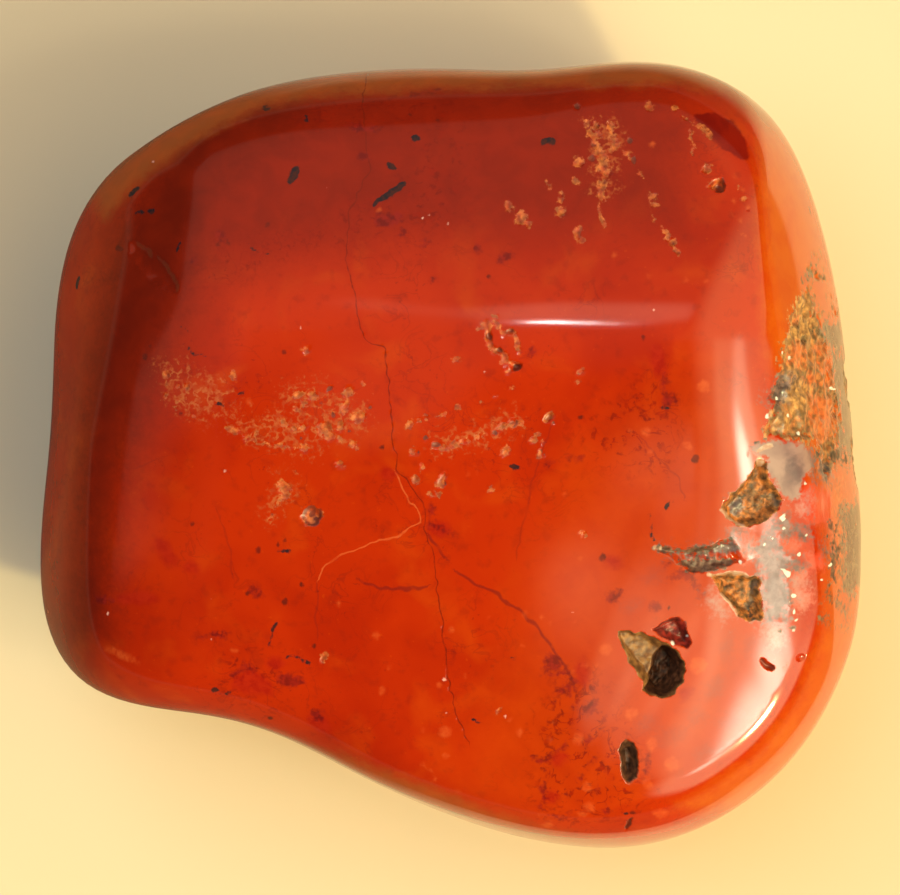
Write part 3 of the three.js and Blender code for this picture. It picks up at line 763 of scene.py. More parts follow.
        "spots": [(16.2, 0.2, 0.13), (16.15, -0.2, 0.12), (15.4, 0.0, 0.1), (14.15, -7.1, 0.08),
                  (14.4, -7.12, 0.09), (13.8, -7.1, 0.08), (14.1, -8.6, 0.07),
                  (15.8, -3.3, 0.07), (16.2, -3.9, 0.1), (15.85, -5.3, 0.08), (16.3, -5.6, 0.07)],
    },
    "tan": {
        "areas": [pits["funnel"]["outline"]],
    },
    "garnet": {
        "areas": [pits["red pocket"]["outline"]],
    },
    # dark brown deep part of the funnel and the near pit: their own colour, darkened further as painted shade
    # in the recess
    "shadedThroat": {
        "areas": [pits["funnel throat"]["outline"], pits["near pit"]["outline"]],
    },
    "glint": {
        "spots": [
            (16.1, 2.85, 0.09), (14.6, 1.0, 0.1), (14.15, 1.7, 0.08), (13.75, 2.4, 0.09),
            (14.0, 4.35, 0.08), (13.3, 1.7, 0.08), (14.4, 4.1, 0.07), (13.95, -2.55, 0.1),
            (13.5, -3.4, 0.08), (12.2, -4.4, 0.08), (14.65, -4.1, 0.08),
            (15.9, -4.5, 0.07), (14.9, -1.1, 0.07), (15.58, -5.14, 0.07), (14.42, -5.78, 0.1),
            (14.42, -6.43, 0.09), (14.36, -7.2, 0.06), (14.2, -5.5, 0.05), (14.3, -6.1, 0.05),
            (14.5, -6.8, 0.06), (14.0, -3.0, 0.06), (13.2, -3.7, 0.06), (14.9, -3.3, 0.06),
            (9.35, -7.75, 0.08), (9.9, -7.5, 0.06),
        ],
        "areas": [
            [(13.85, -4.7), (14.3, -4.75), (14.15, -5.08)],
            [(13.75, -2.5), (14.05, -2.35), (13.95, -2.75)],
        ],
    },
}

# Thin lines, by the points they run through, kept 1.2 mm apart within one kind: the shader draws
# them sharply
lines = {
    "hairline": [
        [(-3.4, 15.8), (-3.6, 15.2), (-3.3, 12.0), (-3.9, 10.7), (-4.1, 10.2), (-4.15, 9.2),
         (-4.3, 8.3), (-4.0, 7.2), (-3.7, 6.0), (-3.55, 5.0), (-3.4, 4.8), (-2.65, 4.55),
         (-2.6, 3.7), (-2.5, 3.0), (-2.4, 2.0), (-2.3, 1.2), (-2.15, 0.2), (-2.1, -0.6),
         (-1.8, -0.85), (-1.5, -1.2), (-1.2, -1.7), (-1.0, -2.2), (-1.0, -2.9), (-0.8, -3.5),
         (-0.6, -4.2), (-0.45, -5.5), (-0.35, -6.2), (-0.25, -7.0), (-0.15, -7.7), (-0.05, -8.3),
         (0.0, -9.0), (0.1, -9.6), (0.2, -10.1), (0.3, -10.7), (0.5, -11.2), (0.8, -11.9)],
    ],
    "paleCrack": [
        [(-2.15, -0.7), (-2.0, -1.0), (-1.8, -1.5), (-1.6, -1.9), (-1.35, -2.2), (-1.2, -2.75),
         (-1.7, -3.0), (-2.0, -3.25), (-2.4, -3.45), (-2.9, -3.55), (-3.5, -3.8), (-4.0, -4.0),
         (-4.6, -4.25), (-5.1, -4.6), (-5.35, -5.1)],
    ],
    "faintLine": [
        [(4.3, 1.4), (3.6, -0.8), (3.4, -1.5), (3.1, -3.0), (2.9, -4.2)],
        [(7.9, 0.8), (8.7, 0.0), (9.6, -0.9), (9.8, -1.7)],
        [(-5.45, -5.4), (-5.5, -6.4), (-5.5, -7.5)],
        [(-13.0, -0.45), (-12.2, -0.1)],
        [(-9.6, -2.2), (-9.0, -4.0), (-8.9, -5.0)],
    ],
    "vein": [
        [(-3.6, -5.2), (-2.55, -5.6), (-0.9, -5.4)],
        [(0.35, -4.8), (1.2, -5.3), (1.9, -5.55), (2.3, -5.9), (2.75, -6.3), (3.7, -7.05),
         (4.1, -7.6), (4.3, -8.0), (4.6, -8.4), (4.9, -8.8), (5.1, -9.3)],
        [(-0.8, -3.2), (-0.4, -3.8), (-0.1, -4.2)],
    ],
}


def topSide(points, normals):
    facesUp = 0.02
    return (normals[:, 2] > facesUp) & (points[:, 2] > stoneForm["bellyHeight"])


# of these, the lit right side, the rim's reflection and the left bevel's shade are painted light and shade
broadKinds = ("maroon", "oxbloodShade", "warm", "paintedSunlitSide", "rimReflectionAndShade")     # these run on down the sides

# Unevenness of the marks: size, reach and how much further it reaches down on the wall
wander = {"wide": (0.9, 0.16, 8.0), "fine": (0.27, 0.16, 2.0)}
wallHeights = (12.5, 10.0)     # between these heights the top turns into the wall
fraying = {"above": 0.8, "reach": 1.2, "size": 0.8}     # where and how unevenly the marks end


def unevenPlaces(points):
    # places seen from above, shaken a little so that no mark keeps a drawn edge
    x, y = seenPlaces(points)
    wall = smooth(points[:, 2], *wallHeights)
    for size, reach, wallShare in wander.values():
        reach = reach * (1 + wall * wallShare)
        x = x + reach * (grain(points + 11.0, size) - 0.5)
        y = y + reach * (grain(points + 23.0, size) - 0.5)
    return x, y


def fieldsAt(points, normals):
    # distance of each point to each kind of mark, and to each thin line
    top = topSide(points, normals)
    x, y = unevenPlaces(points)
    # the marks fray away just above the widest height, the broad tones run on down the sides
    fray = stoneForm["bellyHeight"] + fraying["above"] - points[top, 2]
    fray += fraying["reach"] * (grain(points[top], fraying["size"]) - 0.5)
    fields = {name: markDistance(x, y, marks[name]) for name in broadKinds}
    x, y = x[top], y[top]

    def onTop(values):
        whole = np.full(len(points), tooFar)
        whole[top] = values
        return whole

    for name, kind in marks.items():
        if name not in broadKinds:
            fields[name] = onTop(np.maximum(markDistance(x, y, kind), fray))
    for name, paths in lines.items():
        near, side = lineDistance(x, y, paths)
        fields[name + "Near"] = onTop(near)
        fields[name + "Side"] = onTop(near * side)
    return fields


# What the sides and the underside carry: hollows that tumbling has left, dark flecks, amber grains.
# Radii in millimetres; the stretch is how much longer than wide they are drawn.

scatter = {
    "hollow": {"count": 9, "seed": 11, "radius": (0.18, 0.42), "stretch": 0.5, "spacing": 0.12},
    "sideFleck": {"count": 46, "seed": 4, "radius": (0.07, 0.24), "stretch": 0.75, "spacing": 0.14},
    "sideAmber": {"count": 34, "seed": 8, "radius": (0.06, 0.24), "stretch": 0.4, "spacing": 0.14},
}
scatterBand = {"steeper": 0.35, "above": 0.3}     # not on the top, and not where the stone rests
scatterShake = {"size": 0.3, "reach": 0.4}        # unevenness of their edges


def scattered(plan):
    draw = np.random.default_rng(plan["seed"])
    places = onSkin(unit(draw.normal(size=(400, 3))))     # more than enough to choose from
    sideways = skinNormals(places)[:, 2] < scatterBand["steeper"]
    places = places[sideways & (places[:, 2] > scatterBand["above"])][: plan["count"]]
    low, high = plan["radius"]
    radii = low + (high - low) * draw.random(len(places)) ** 2
    along = unit(draw.normal(size=(len(places), 3)))
    return list(zip(places, radii, along))


scatterPlaces = {name: scattered(plan) for name, plan in scatter.items()}


def scatterDistance(points, name):
    shaking = [grain(points + 9.0 * axis, scatterShake["size"]) for axis in (1, 2, 3)]
    shaken = points + scatterShake["reach"] * (np.stack(shaking, -1) - 0.5)
    nearest = np.full(len(points), tooFar)
    for place, radius, along in scatterPlaces[name]:
        offset = shaken - place
        offset = offset - scatter[name]["stretch"] * (offset @ along)[:, None] * along
        nearest = np.minimum(nearest, np.linalg.norm(offset, axis=1) - radius)
    return nearest


# The vein of crust runs on down the right side, as seen from beside the stone

sideCrust = {
    "azimuth": 5.0, "z": 8.5, "half": (6.2, 4.6), "turn": -18,
    "radius": 17.0,        # of the side, to lay the oval out flat
    "overlap": 1.2,        # how far it reaches above the widest height
    "uneven": (1.6, 3.2),  # size and reach of the unevenness of its upper edge
}


def sideCrustDistance(points):
    angle = np.arctan2(points[:, 1], points[:, 0]) - math.radians(sideCrust["azimuth"])
    along = (angle + np.pi) % (2 * np.pi) - np.pi
    oval = ovalDistance(along * sideCrust["radius"], points[:, 2], 0, sideCrust["z"], *sideCrust["half"],
                        sideCrust["turn"])
    size, reach = sideCrust["uneven"]
    above = points[:, 2] - stoneForm["bellyHeight"] - sideCrust["overlap"]
    above = above + reach * (grain(points + 5.0, size) - 0.5)
    return np.clip(np.maximum(oval, above), -tooFar, tooFar)


relief = {
    "lumpSize": 0.45, "grainSize": 0.17,
    "ragged": (0.3, 0.12),      # size and reach of the unevenness of every edge
    "pitLumps": 2.0, "pitGrains": 1.8, "rampStart": 0.05,
    "crustDepth": 0.12, "crustStep": 0.25, "crustLumps": 0.26, "crustGrains": 0.07,
    "patchDepth": 0.012, "patchStep": 0.2,
    "amberDepth": 0.055, "amberStep": 0.09,
    "crackDepth": 0.03, "crackWidth": 0.07,
    "hollowDepth": 0.26, "hollowStep": 0.3,
    "lip": -0.02,               # grains and hollows begin this far outside their marks
    "polished": 0.002,          # anything shallower than this keeps its polish
}


def reliefDepth(points, normals, fields):
    # how far the polished skin is worn away at each point
    depth = np.zeros(len(points))
    top = topSide(points, normals)
    x, y = unevenPlaces(points)
    lumps = grain(points, relief["lumpSize"])
    grains = grain(points + 7.0, relief["grainSize"])
    size, reach = relief["ragged"]
    ragged = (grain(points + 3.0, size) - 0.5) * reach
    for pit in pits.values():
        cx, cy, _ = extent(pit["outline"])
        near = np.flatnonzero(top & (np.hypot(x - cx, y - cy) < tooFar))
        inside = np.maximum(-areaDistance(x[near], y[near], pit["outline"]) + ragged[near] * 0.5, 0)
        wall = inside * pit["wall"]
        floor = np.full(len(near), pit["depth"])
        if "ramp" in pit:
            startX, startY, azimuth, slope = pit["ramp"]
            azimuth = math.radians(azimuth)
            out = (x[near] - startX) * math.cos(azimuth) + (y[near] - startY) * math.sin(azimuth)
            floor = np.minimum(floor, relief["rampStart"] + out * slope)
        bottom = floor + pit["rough"] * relief["pitLumps"] * (lumps[near] - 0.5)
        bottom += pit["rough"] * relief["pitGrains"] * (grains[near] - 0.5)
        depth[near] += np.where(inside > 0, np.maximum(np.minimum(wall, bottom), 0), 0)
    for cx, cy, half, across, turn, chipDepth in chips:
        near = np.flatnonzero(top & (np.hypot(x - cx, y - cy) < tooFar))
        away = ovalDistance(x[near], y[near], cx, cy, half, across, turn) + ragged[near] * 0.4
        share = np.clip(-away / min(half, across), 0, 1)
        depth[near] = np.maximum(depth[near], chipDepth * (1 - (1 - share) ** 2))
    crust = np.minimum(fields["crust"], fields["sideCrust"]) + ragged * 2
    worn = smooth(-crust, 0, relief["crustStep"])
    rough = relief["crustLumps"] * (lumps - 0.5) + relief["crustGrains"] * (grains - 0.5)
    depth += worn * np.maximum(relief["crustDepth"] + rough, 0)
    patch = np.minimum.reduce([fields["matrix"], fields["rose"], fields["edgeGrey"], fields["cream"]])
    depth += smooth(-patch, 0, relief["patchStep"]) * relief["patchDepth"] * (0.4 + 1.2 * lumps)
    amber = np.minimum(fields["amber"], fields["shade"]) + ragged
    worn = smooth(-amber, relief["lip"], relief["amberStep"])
    depth += worn * relief["amberDepth"] * (0.4 + 1.2 * grains)
    for name in ("hairline", "paleCrack"):
        depth += relief["crackDepth"] * (1 - smooth(fields[name + "Near"], 0, relief["crackWidth"]))
    hollow = fields["hollow"] + ragged
    sunk = smooth(-hollow, relief["lip"], relief["hollowStep"])
    depth += relief["hollowDepth"] * sunk * (0.6 + 0.4 * lumps)
    return depth


# The mesh: a cube blown up to the stone's skin, with finer faces where there is more to show

spacing = {
    "cuts": 63,
    "passes": 4,
    "slack": 1.45,         # how much longer than wanted an edge may stay
    "top": 0.3, "sides": 9.0, "steep": 0.3,
    "grow": 0.55,          # how quickly faces may grow away from a detail
    "crust": 0.085, "pit": 0.07, "mark": 0.085, "softMark": 0.2,
    "line": 0.1, "lineReach": 0.12,
}
softKinds = (
    "mottle", "deepRed", "paintedHaze", "stain", "pale", "frost", "chalcedony", "heart", "paintedSheen", "matrix",
    "edgeGrey", "rose",
)


def wantedSpacing(points, normals, fields):
    # how long the edges of the faces may be at each point, in millimetres
    wanted = np.where(normals[:, 2] > spacing["steep"], spacing["top"], spacing["sides"])

    def near(distance, size):
        return np.minimum(wanted, size + spacing["grow"] * np.maximum(distance, 0))

    wanted = near(np.minimum(fields["crust"], fields["sideCrust"]), spacing["crust"])
    for name in marks:
        size = spacing["softMark"] if name in softKinds else spacing["mark"]
        if name not in broadKinds:
            wanted = near(fields[name], size)
    for name in lines:
        wanted = near(fields[name + "Near"] - spacing["lineReach"], spacing["line"])
    for name, plan in scatter.items():
        wanted = near(fields[name], plan["spacing"])
    top = topSide(points, normals)
    x, y = unevenPlaces(points)
    for pit in pits.values():
        distance = np.full(len(points), tooFar)
        distance[top] = areaDistance(x[top], y[top], pit["outline"])
        wanted = near(distance, spacing["pit"])
    for *oval, _ in chips:
        distance = np.where(top, ovalDistance(x, y, *oval), tooFar)
        wanted = near(distance, spacing["pit"])
    return wanted


def allFields(points, normals):
    fields = fieldsAt(points, normals)
    fields["sideCrust"] = sideCrustDistance(points)
    for name in scatter:
        fields[name] = scatterDistance(points, name)
    return fields


def directionsOf(bm):
    return unit(np.array([vertex.co for vertex in bm.verts]))


def blownCube():
    bm = bmesh.new()
    bmesh.ops.create_cube(bm, size=2)
    bmesh.ops.subdivide_edges(bm, edges=bm.edges[:], cuts=spacing["cuts"], use_grid_fill=True)
    for vertex in bm.verts:
        vertex.co = Vector([math.tan(c * math.pi / 4) for c in vertex.co]).normalized()
    for done in range(1, spacing["passes"] + 1):
        points = onSkin(directionsOf(bm))
        normals = skinNormals(points)
        wanted = wantedSpacing(points, normals, allFields(points, normals))
        bm.verts.index_update()
        coarse = set()
        for face in bm.faces:
            corners = [vertex.index for vertex in face.verts]
            place = points[corners]
            longest = np.linalg.norm(place - np.roll(place, 1, axis=0), axis=1).max()
            if longest > wanted[corners].min() * spacing["slack"]:
                coarse.update(face.edges)
        if not coarse:
            break
        halved = [edge for edge in bm.edges if edge in coarse]
        bmesh.ops.subdivide_edges(bm, edges=halved, cuts=1, use_grid_fill=True)
        print("finer faces, pass", done, "-", len(bm.faces), "faces")
    bmesh.ops.triangulate(bm, faces=[f for f in bm.faces if len(f.verts) > 4])
    return bm


def addToScene(name, data):
    made = bpy.data.objects.new(name, data)
    bpy.context.scene.collection.objects.link(made)
    return made


def buildStone():
    bm = blownCube()
    points = onSkin(directionsOf(bm))
    normals = skinNormals(points)
    fields = allFields(points, normals)
    depth = reliefDepth(points, normals, fields)
    shaped = points - normals * depth[:, None]
    # laid into the CAD stone's box, a hair inside it
    inset = 0.004 * mm
    low, high = points.min(axis=0), points.max(axis=0)
    boxLow = np.array(stoneBox[0]) + inset
    boxHigh = np.array(stoneBox[1]) - inset
    placed = boxLow + (shaped - low) / (high - low) * (boxHigh - boxLow)
    for vertex, place in zip(bm.verts, placed):
        vertex.co = place
    mesh = bpy.data.meshes.new("jasperStone")
    bm.to_mesh(mesh)
    bm.free()
    for name, values in fields.items():
        attribute = mesh.attributes.new(name, "FLOAT", "POINT")
        attribute.data.foreach_set("value", np.clip(values, -tooFar, tooFar).astype(np.float32))
    mesh.shade_smooth()
    # the polish keeps the exact slope of the form, worn places keep their own
    own = np.zeros(len(mesh.vertices) * 3, np.float32)
    mesh.vertices.foreach_get("normal", own)
    own = own.reshape(-1, 3)
    polished = (depth < relief["polished"])[:, None]
    mesh.normals_split_custom_set_from_vertices(np.where(polished, normals, own).tolist())
    stone = addToScene("jasperStone", mesh)
    triangles = sum(len(p.vertices) - 2 for p in mesh.polygons)
    print("stone built,", triangles, "triangles")
    return stone


# The jasper's finish

jasperFinish = {
    "brick": (0.46, 0.023, 0.0010),
    "deep": (0.38, 0.015, 0.0008),
    "orange": (0.52, 0.048, 0.0020),
    "wine": (0.20, 0.010, 0.004),
    "polish": 0.09,
    "ior": 1.54,
}

# From the ground colour up, for each kind of mark: its two colours, how soft and how ragged its edge
# is in millimetres, how strongly it covers, how rough it is where it isn't polished, how much its
# brightness varies (grain), and how much shows between its winding threads (worms) or clumps
layers = {
    "maroon": {"colours": [(0.22, 0.011, 0.0030), (0.26, 0.013, 0.0030)],
        "soft": 4.2, "ragged": 0.7, "cover": 0.95},
    # partly painted shade on the left bevel, dark red
    "oxbloodShade": {"colours": [(0.15, 0.008, 0.0020), (0.19, 0.010, 0.0020)],
        "soft": 2.4, "ragged": 0.8, "cover": 0.9},
    "warm": {"colours": [(0.47, 0.036, 0.0010), (0.52, 0.046, 0.0014)],
        "soft": 4.0, "ragged": 0.9, "cover": 0.7},
    # painted light on the right side, brighter orange
    "paintedSunlitSide": {"colours": [(0.52, 0.078, 0.0035), (0.55, 0.100, 0.0045)],
        "soft": 1.2, "ragged": 0.4, "cover": 0.95},
    # painted reflection and shade of the rim, brown
    "rimReflectionAndShade": {"colours": [(0.34, 0.070, 0.012), (0.42, 0.074, 0.010)],
        "soft": 0.7, "ragged": 0.3, "cover": 0.85},
    "mottle": {"colours": [(0.16, 0.007, 0.003), (0.27, 0.010, 0.002)],
        "soft": 2.2, "ragged": 1.8, "cover": 0.8, "clumps": 0.08},
    "deepRed": {"colours": [(0.33, 0.008, 0.003), (0.40, 0.015, 0.004)],
        "soft": 0.35, "ragged": 0.25, "cover": 0.75},
    "lens": {"colours": [(0.15, 0.004, 0.002), (0.22, 0.007, 0.002)],
        "soft": 0.14, "ragged": 0.1, "cover": 0.92},
    # painted reflection haze, pale pinkish grey
    "paintedHaze": {"colours": [(0.27, 0.055, 0.045), (0.24, 0.030, 0.026)],
        "soft": 0.8, "ragged": 0.6, "cover": 0.4, "rough": 0.10},
    "speck": {"colours": [(0.14, 0.010, 0.005), (0.08, 0.010, 0.006)],
        "soft": 0.1, "ragged": 0.1, "cover": 0.85, "rough": 0.12},
    "stain": {"colours": [(0.13, 0.006, 0.006), (0.26, 0.012, 0.008)],
        "soft": 0.26, "ragged": 0.45, "cover": 0.8, "rough": 0.10},
    "pale": {"colours": [(0.66, 0.10, 0.020), (0.60, 0.07, 0.012)],
        "soft": 0.2, "ragged": 0.1, "cover": 0.55, "rough": 0.11},
    "frost": {"colours": [(0.52, 0.13, 0.034), (0.42, 0.05, 0.010)],
        "soft": 0.8, "ragged": 1.9, "cover": 0.66, "rough": 0.26, "worms": 0.08},
    "amber": {"colours": [(0.50, 0.125, 0.026), (0.36, 0.045, 0.010)],
        "soft": 0.10, "ragged": 0.38, "cover": 0.8, "rough": 0.42, "grain": 0.45},
    "shade": {"colours": [(0.14, 0.018, 0.009), (0.20, 0.028, 0.012)],
        "soft": 0.06, "ragged": 0.06, "cover": 0.95, "rough": 0.4},
    "fleck": {"colours": [(0.008, 0.012, 0.018), (0.050, 0.014, 0.012)],
        "soft": 0.07, "ragged": 0.16, "cover": 0.95, "rough": 0.12},
    "rose": {"colours": [(0.60, 0.060, 0.028), (0.62, 0.115, 0.070)],
        "soft": 0.4, "ragged": 0.6, "cover": 0.8, "rough": 0.12},
    "crust": {"colours": [(0.42, 0.15, 0.045), (0.20, 0.12, 0.05)],
        "soft": 0.25, "ragged": 1.0, "cover": 0.95, "rough": 0.42, "grain": 0.5},
    "gold": {"colours": [(0.52, 0.27, 0.090), (0.30, 0.13, 0.040)],
        "soft": 0.4, "ragged": 1.0, "cover": 0.85, "rough": 0.4, "grain": 0.5},
    "ember": {"colours": [(0.62, 0.12, 0.025), (0.50, 0.13, 0.035)],
        "soft": 0.35, "ragged": 0.9, "cover": 0.85, "rough": 0.3, "grain": 0.3},
    # painted sheen, pale pink
    "paintedSheen": {"colours": [(0.42, 0.30, 0.30), (0.50, 0.18, 0.14)],
        "soft": 0.9, "ragged": 1.0, "cover": 0.7, "rough": 0.12},
    "matrix": {"colours": [(0.17, 0.12, 0.12), (0.075, 0.058, 0.064)],
        "soft": 0.7, "ragged": 1.3, "cover": 0.85, "rough": 0.20, "grain": 0.4},
    "edgeGrey": {"colours": [(0.15, 0.125, 0.07), (0.07, 0.055, 0.035)],
        "soft": 0.4, "ragged": 1.1, "cover": 0.8, "rough": 0.20, "grain": 0.4},
    "chalcedony": {"colours": [(0.36, 0.235, 0.215), (0.21, 0.135, 0.135)],
        "soft": 0.25, "ragged": 0.5, "cover": 0.92, "rough": 0.11},
    "heart": {"colours": [(0.10, 0.066, 0.076), (0.15, 0.100, 0.105)],
        "soft": 0.6, "ragged": 0.6, "cover": 0.75, "rough": 0.11},
    "rust": {"colours": [(0.42, 0.13, 0.026), (0.17, 0.075, 0.024)],
        "soft": 0.08, "ragged": 0.2, "cover": 1.0, "rough": 0.6, "grain": 0.65},
    "tan": {"colours": [(0.27, 0.12, 0.036), (0.17, 0.065, 0.02)],
        "soft": 0.03, "ragged": 0.04, "cover": 1.0, "rough": 0.55, "grain": 0.35},
    # painted shade: the deep part of the funnel and the near pit drawn darker than their own brown
    "shadedThroat": {"colours": [(0.13, 0.045, 0.018), (0.06, 0.02, 0.01)],
        "soft": 0.12, "ragged": 0.1, "cover": 1.0, "rough": 0.5, "grain": 0.6},
    "garnet": {"colours": [(0.26, 0.02, 0.012), (0.09, 0.010, 0.008)],
        "soft": 0.08, "ragged": 0.2, "cover": 0.95, "rough": 0.5, "grain": 0.5},
    "umber": {"colours": [(0.05, 0.032, 0.022), (0.14, 0.085, 0.052)],
        "soft": 0.14, "ragged": 0.45, "cover": 0.9, "rough": 0.55, "grain": 0.6},
    "ash": {"colours": [(0.22, 0.165, 0.145), (0.13, 0.100, 0.092)],
        "soft": 0.16, "ragged": 0.4, "cover": 0.85, "rough": 0.3, "grain": 0.3},
    "cream": {"colours": [(0.62, 0.42, 0.30), (0.50, 0.25, 0.15)],
        "soft": 0.08, "ragged": 0.08, "cover": 0.8, "rough": 0.3},
    # painted highlights, pinkish white
    "paintedPinkGlint": {"colours": [(0.85, 0.42, 0.34), (0.85, 0.42, 0.34)],
        "soft": 0.06, "ragged": 0.0, "cover": 0.85, "rough": 0.15},
    "glint": {"colours": [(0.85, 0.82, 0.76), (0.7, 0.66, 0.6)],
        "soft": 0.05, "ragged": 0.05, "cover": 0.95, "rough": 0.2},
    "sideCrust": {"colours": [(0.38, 0.15, 0.050), (0.18, 0.12, 0.05)],
        "soft": 0.3, "ragged": 1.4, "cover": 0.95, "rough": 0.42, "grain": 0.5},
    "sideFleck": {"colours": [(0.06, 0.010, 0.008), (0.17, 0.010, 0.005)],
        "soft": 0.10, "ragged": 0.2, "cover": 0.85, "rough": 0.12},
    "sideAmber": {"colours": [(0.50, 0.125, 0.026), (0.36, 0.045, 0.010)],
        "soft": 0.12, "ragged": 0.25, "cover": 0.75, "rough": 0.34, "grain": 0.45},
    "hollow": {"colours": [(0.22, 0.05, 0.015), (0.07, 0.015, 0.008)],
        "soft": 0.08, "ragged": 0.08, "cover": 0.9, "rough": 0.5},
}

# Kinds whose two colours lie in clouds, not in small patches
cloudyKinds = (
    "maroon", "oxbloodShade", "warm", "paintedSunlitSide", "rimReflectionAndShade", "lens", "heart", "paintedSheen", "paintedHaze", "chalcedony",
    "matrix", "rose",
)

# Thin lines: half width in millimetres, colour and cover
lineLayers = {
    "faintLine": {"width": 0.03, "colour": (0.22, 0.012, 0.006), "cover": 0.45},
    "vein": {"width": 0.05, "colour": (0.17, 0.010, 0.007), "cover": 0.65},
    "hairline": {"width": 0.022, "colour": (0.16, 0.010, 0.003), "cover": 0.75},
    "paleCrack": {"width": 0.028, "colour": (0.66, 0.12, 0.03), "cover": 0.6},
}
lineBlur = {"edge": 0.04, "reach": (0.3, 0.12), "faintest": 0.35}

# Noises that vary the colours: where each starts, its size in millimetres, detail and distortion
noises = {
    "clouds": ((0, 0, 0), 5.0, 3.0, 0.3),
    "orangeClouds": ((31, 7, 3), 2.2, 4.0, 0.4),
    "wineClouds": ((0, 0, 0), 0.5, 5.0, 0.0),
    "busy": ((3, 12, 5), 3.0, 2.0, 0.0),
    "wisps": ((9, 2, 4), 1.3, 5.0, 0.8),
    "specks": ((1, 6, 2), 0.22, 2.0, 0.0),
    "fine": ((0, 0, 0), 0.16, 3.0, 0.0),
    "medium": ((5, 3, 9), 0.45, 4.0, 0.0),
    "patchy": ((2, 8, 1), 0.28, 5.0, 0.0),
    "cloudy": ((6, 3, 8), 1.1, 3.0, 0.4),
    "speckle": ((4, 1, 6), 0.24, 4.0, 0.2),
    "winding": ((8, 5, 2), 0.36, 2.0, 0.15),
    "tangled": ((7, 1, 5), 0.9, 6.0, 0.9),
    "blots": ((3, 9, 7), 0.42, 5.0, 0.6),
}

# What the noises are made into: between which values it comes in, and its least and greatest share
shares = {
    "brick": (0.34, 0.60), "orange": (0.50, 0.75, 0.0, 0.6), "wine": (0.54, 0.74, 0.0, 0.3),
    "busy": (0.42, 0.62), "wisps": (0.022, 0.0, 0.0, 0.4),
    "wineSpecks": (0.66, 0.72, 0.0, 0.5), "orangeSpecks": (0.30, 0.25, 0.0, 0.4),
    "patchy": (0.38, 0.62), "cloudy": (0.32, 0.68), "brightness": (0.30, 0.70),
    "worms": (0.10, 0.03), "tangled": (0.045, 0.0), "blots": (0.50, 0.66), "clumps": (0.42, 0.58),
    "broken": (0.3, 0.5),
}


class Nodes:
    # short ways to add and join shader nodes
    def __init__(self, tree):
        self.tree = tree

    def add(self, kind, **settings):
        node = self.tree.nodes.new(kind)
        for name, value in settings.items():
            setattr(node, name, value)
        return node

    def join(self, value, socket):
        if isinstance(value, bpy.types.NodeSocket):
            self.tree.links.new(value, socket)
        else:
            socket.default_value = value

    def math(self, operation, a, b=0.0):
        node = self.add("ShaderNodeMath", operation=operation)
        self.join(a, node.inputs[0])
        self.join(b, node.inputs[1])
        return node.outputs[0]

    def vector(self, operation, a, b=None, scale=None):
        node = self.add("ShaderNodeVectorMath", operation=operation)
        self.join(a, node.inputs[0])
        if b is not None:
            self.join(b, node.inputs[1])
        if scale is not None:
            self.join(scale, node.inputs["Scale"])
        return node.outputs["Value"] if operation == "DOT_PRODUCT" else node.outputs["Vector"]

    def attribute(self, name):
        return self.add("ShaderNodeAttribute", attribute_name=name).outputs["Fac"]

    def split(self, vector):
        node = self.add("ShaderNodeSeparateXYZ")
        self.join(vector, node.inputs[0])
        return node.outputs

    def noise(self, place, start, size, detail, distortion):
        node = self.add("ShaderNodeTexNoise")
        self.join(self.vector("ADD", place, start), node.inputs["Vector"])
        node.inputs["Scale"].default_value = 1 / size
        node.inputs["Detail"].default_value = detail
        node.inputs["Distortion"].default_value = distortion
        return node.outputs["Fac"]

    def fromMiddle(self, noise):
        # small along the winding lines where a noise crosses its middle
        return self.math("ABSOLUTE", self.math("SUBTRACT", noise, 0.5))

    def ramp(self, value, start, end, low=0.0, high=1.0):
        node = self.add("ShaderNodeMapRange", interpolation_type="SMOOTHSTEP")
        for name, number in (("Value", value), ("From Min", start), ("From Max", end),
                             ("To Min", low), ("To Max", high)):
            self.join(number, node.inputs[name])
        return node.outputs["Result"]

    def mix(self, share, a, b):
        node = self.add("ShaderNodeMix", data_type="RGBA")
        self.join(share, node.inputs["Factor"])
        for value, socket in ((a, node.inputs[6]), (b, node.inputs[7])):
            self.join((*value, 1) if isinstance(value, tuple) else value, socket)
        return node.outputs[2]

    def blend(self, share, a, b):
        node = self.add("ShaderNodeMix", data_type="FLOAT")
        self.join(share, node.inputs["Factor"])
        self.join(a, node.inputs[2])
        self.join(b, node.inputs[3])
        return node.outputs[0]


def groundColour(n, noise):
    # brick red, a little cloudier with deeper red and orange in places
    brick, deep, orange, wine = (jasperFinish[name] for name in ("brick", "deep", "orange", "wine"))
    colour = n.mix(n.ramp(noise("clouds"), *shares["brick"]), deep, brick)
    colour = n.mix(n.ramp(noise("orangeClouds"), *shares["orange"]), colour, orange)
    colour = n.mix(n.ramp(noise("wineClouds"), *shares["wine"]), colour, wine)
    # wisps and specks of darker red gather where the stone is cloudy
    busy = n.ramp(noise("busy"), *shares["busy"])
    wisps = n.ramp(n.fromMiddle(noise("wisps")), *shares["wisps"])
    specks = noise("specks")
    colour = n.mix(n.math("MULTIPLY", busy, wisps), colour, wine)
    colour = n.mix(n.math("MULTIPLY", busy, n.ramp(specks, *shares["wineSpecks"])), colour, wine)
    return n.mix(n.ramp(specks, *shares["orangeSpecks"]), colour, orange)


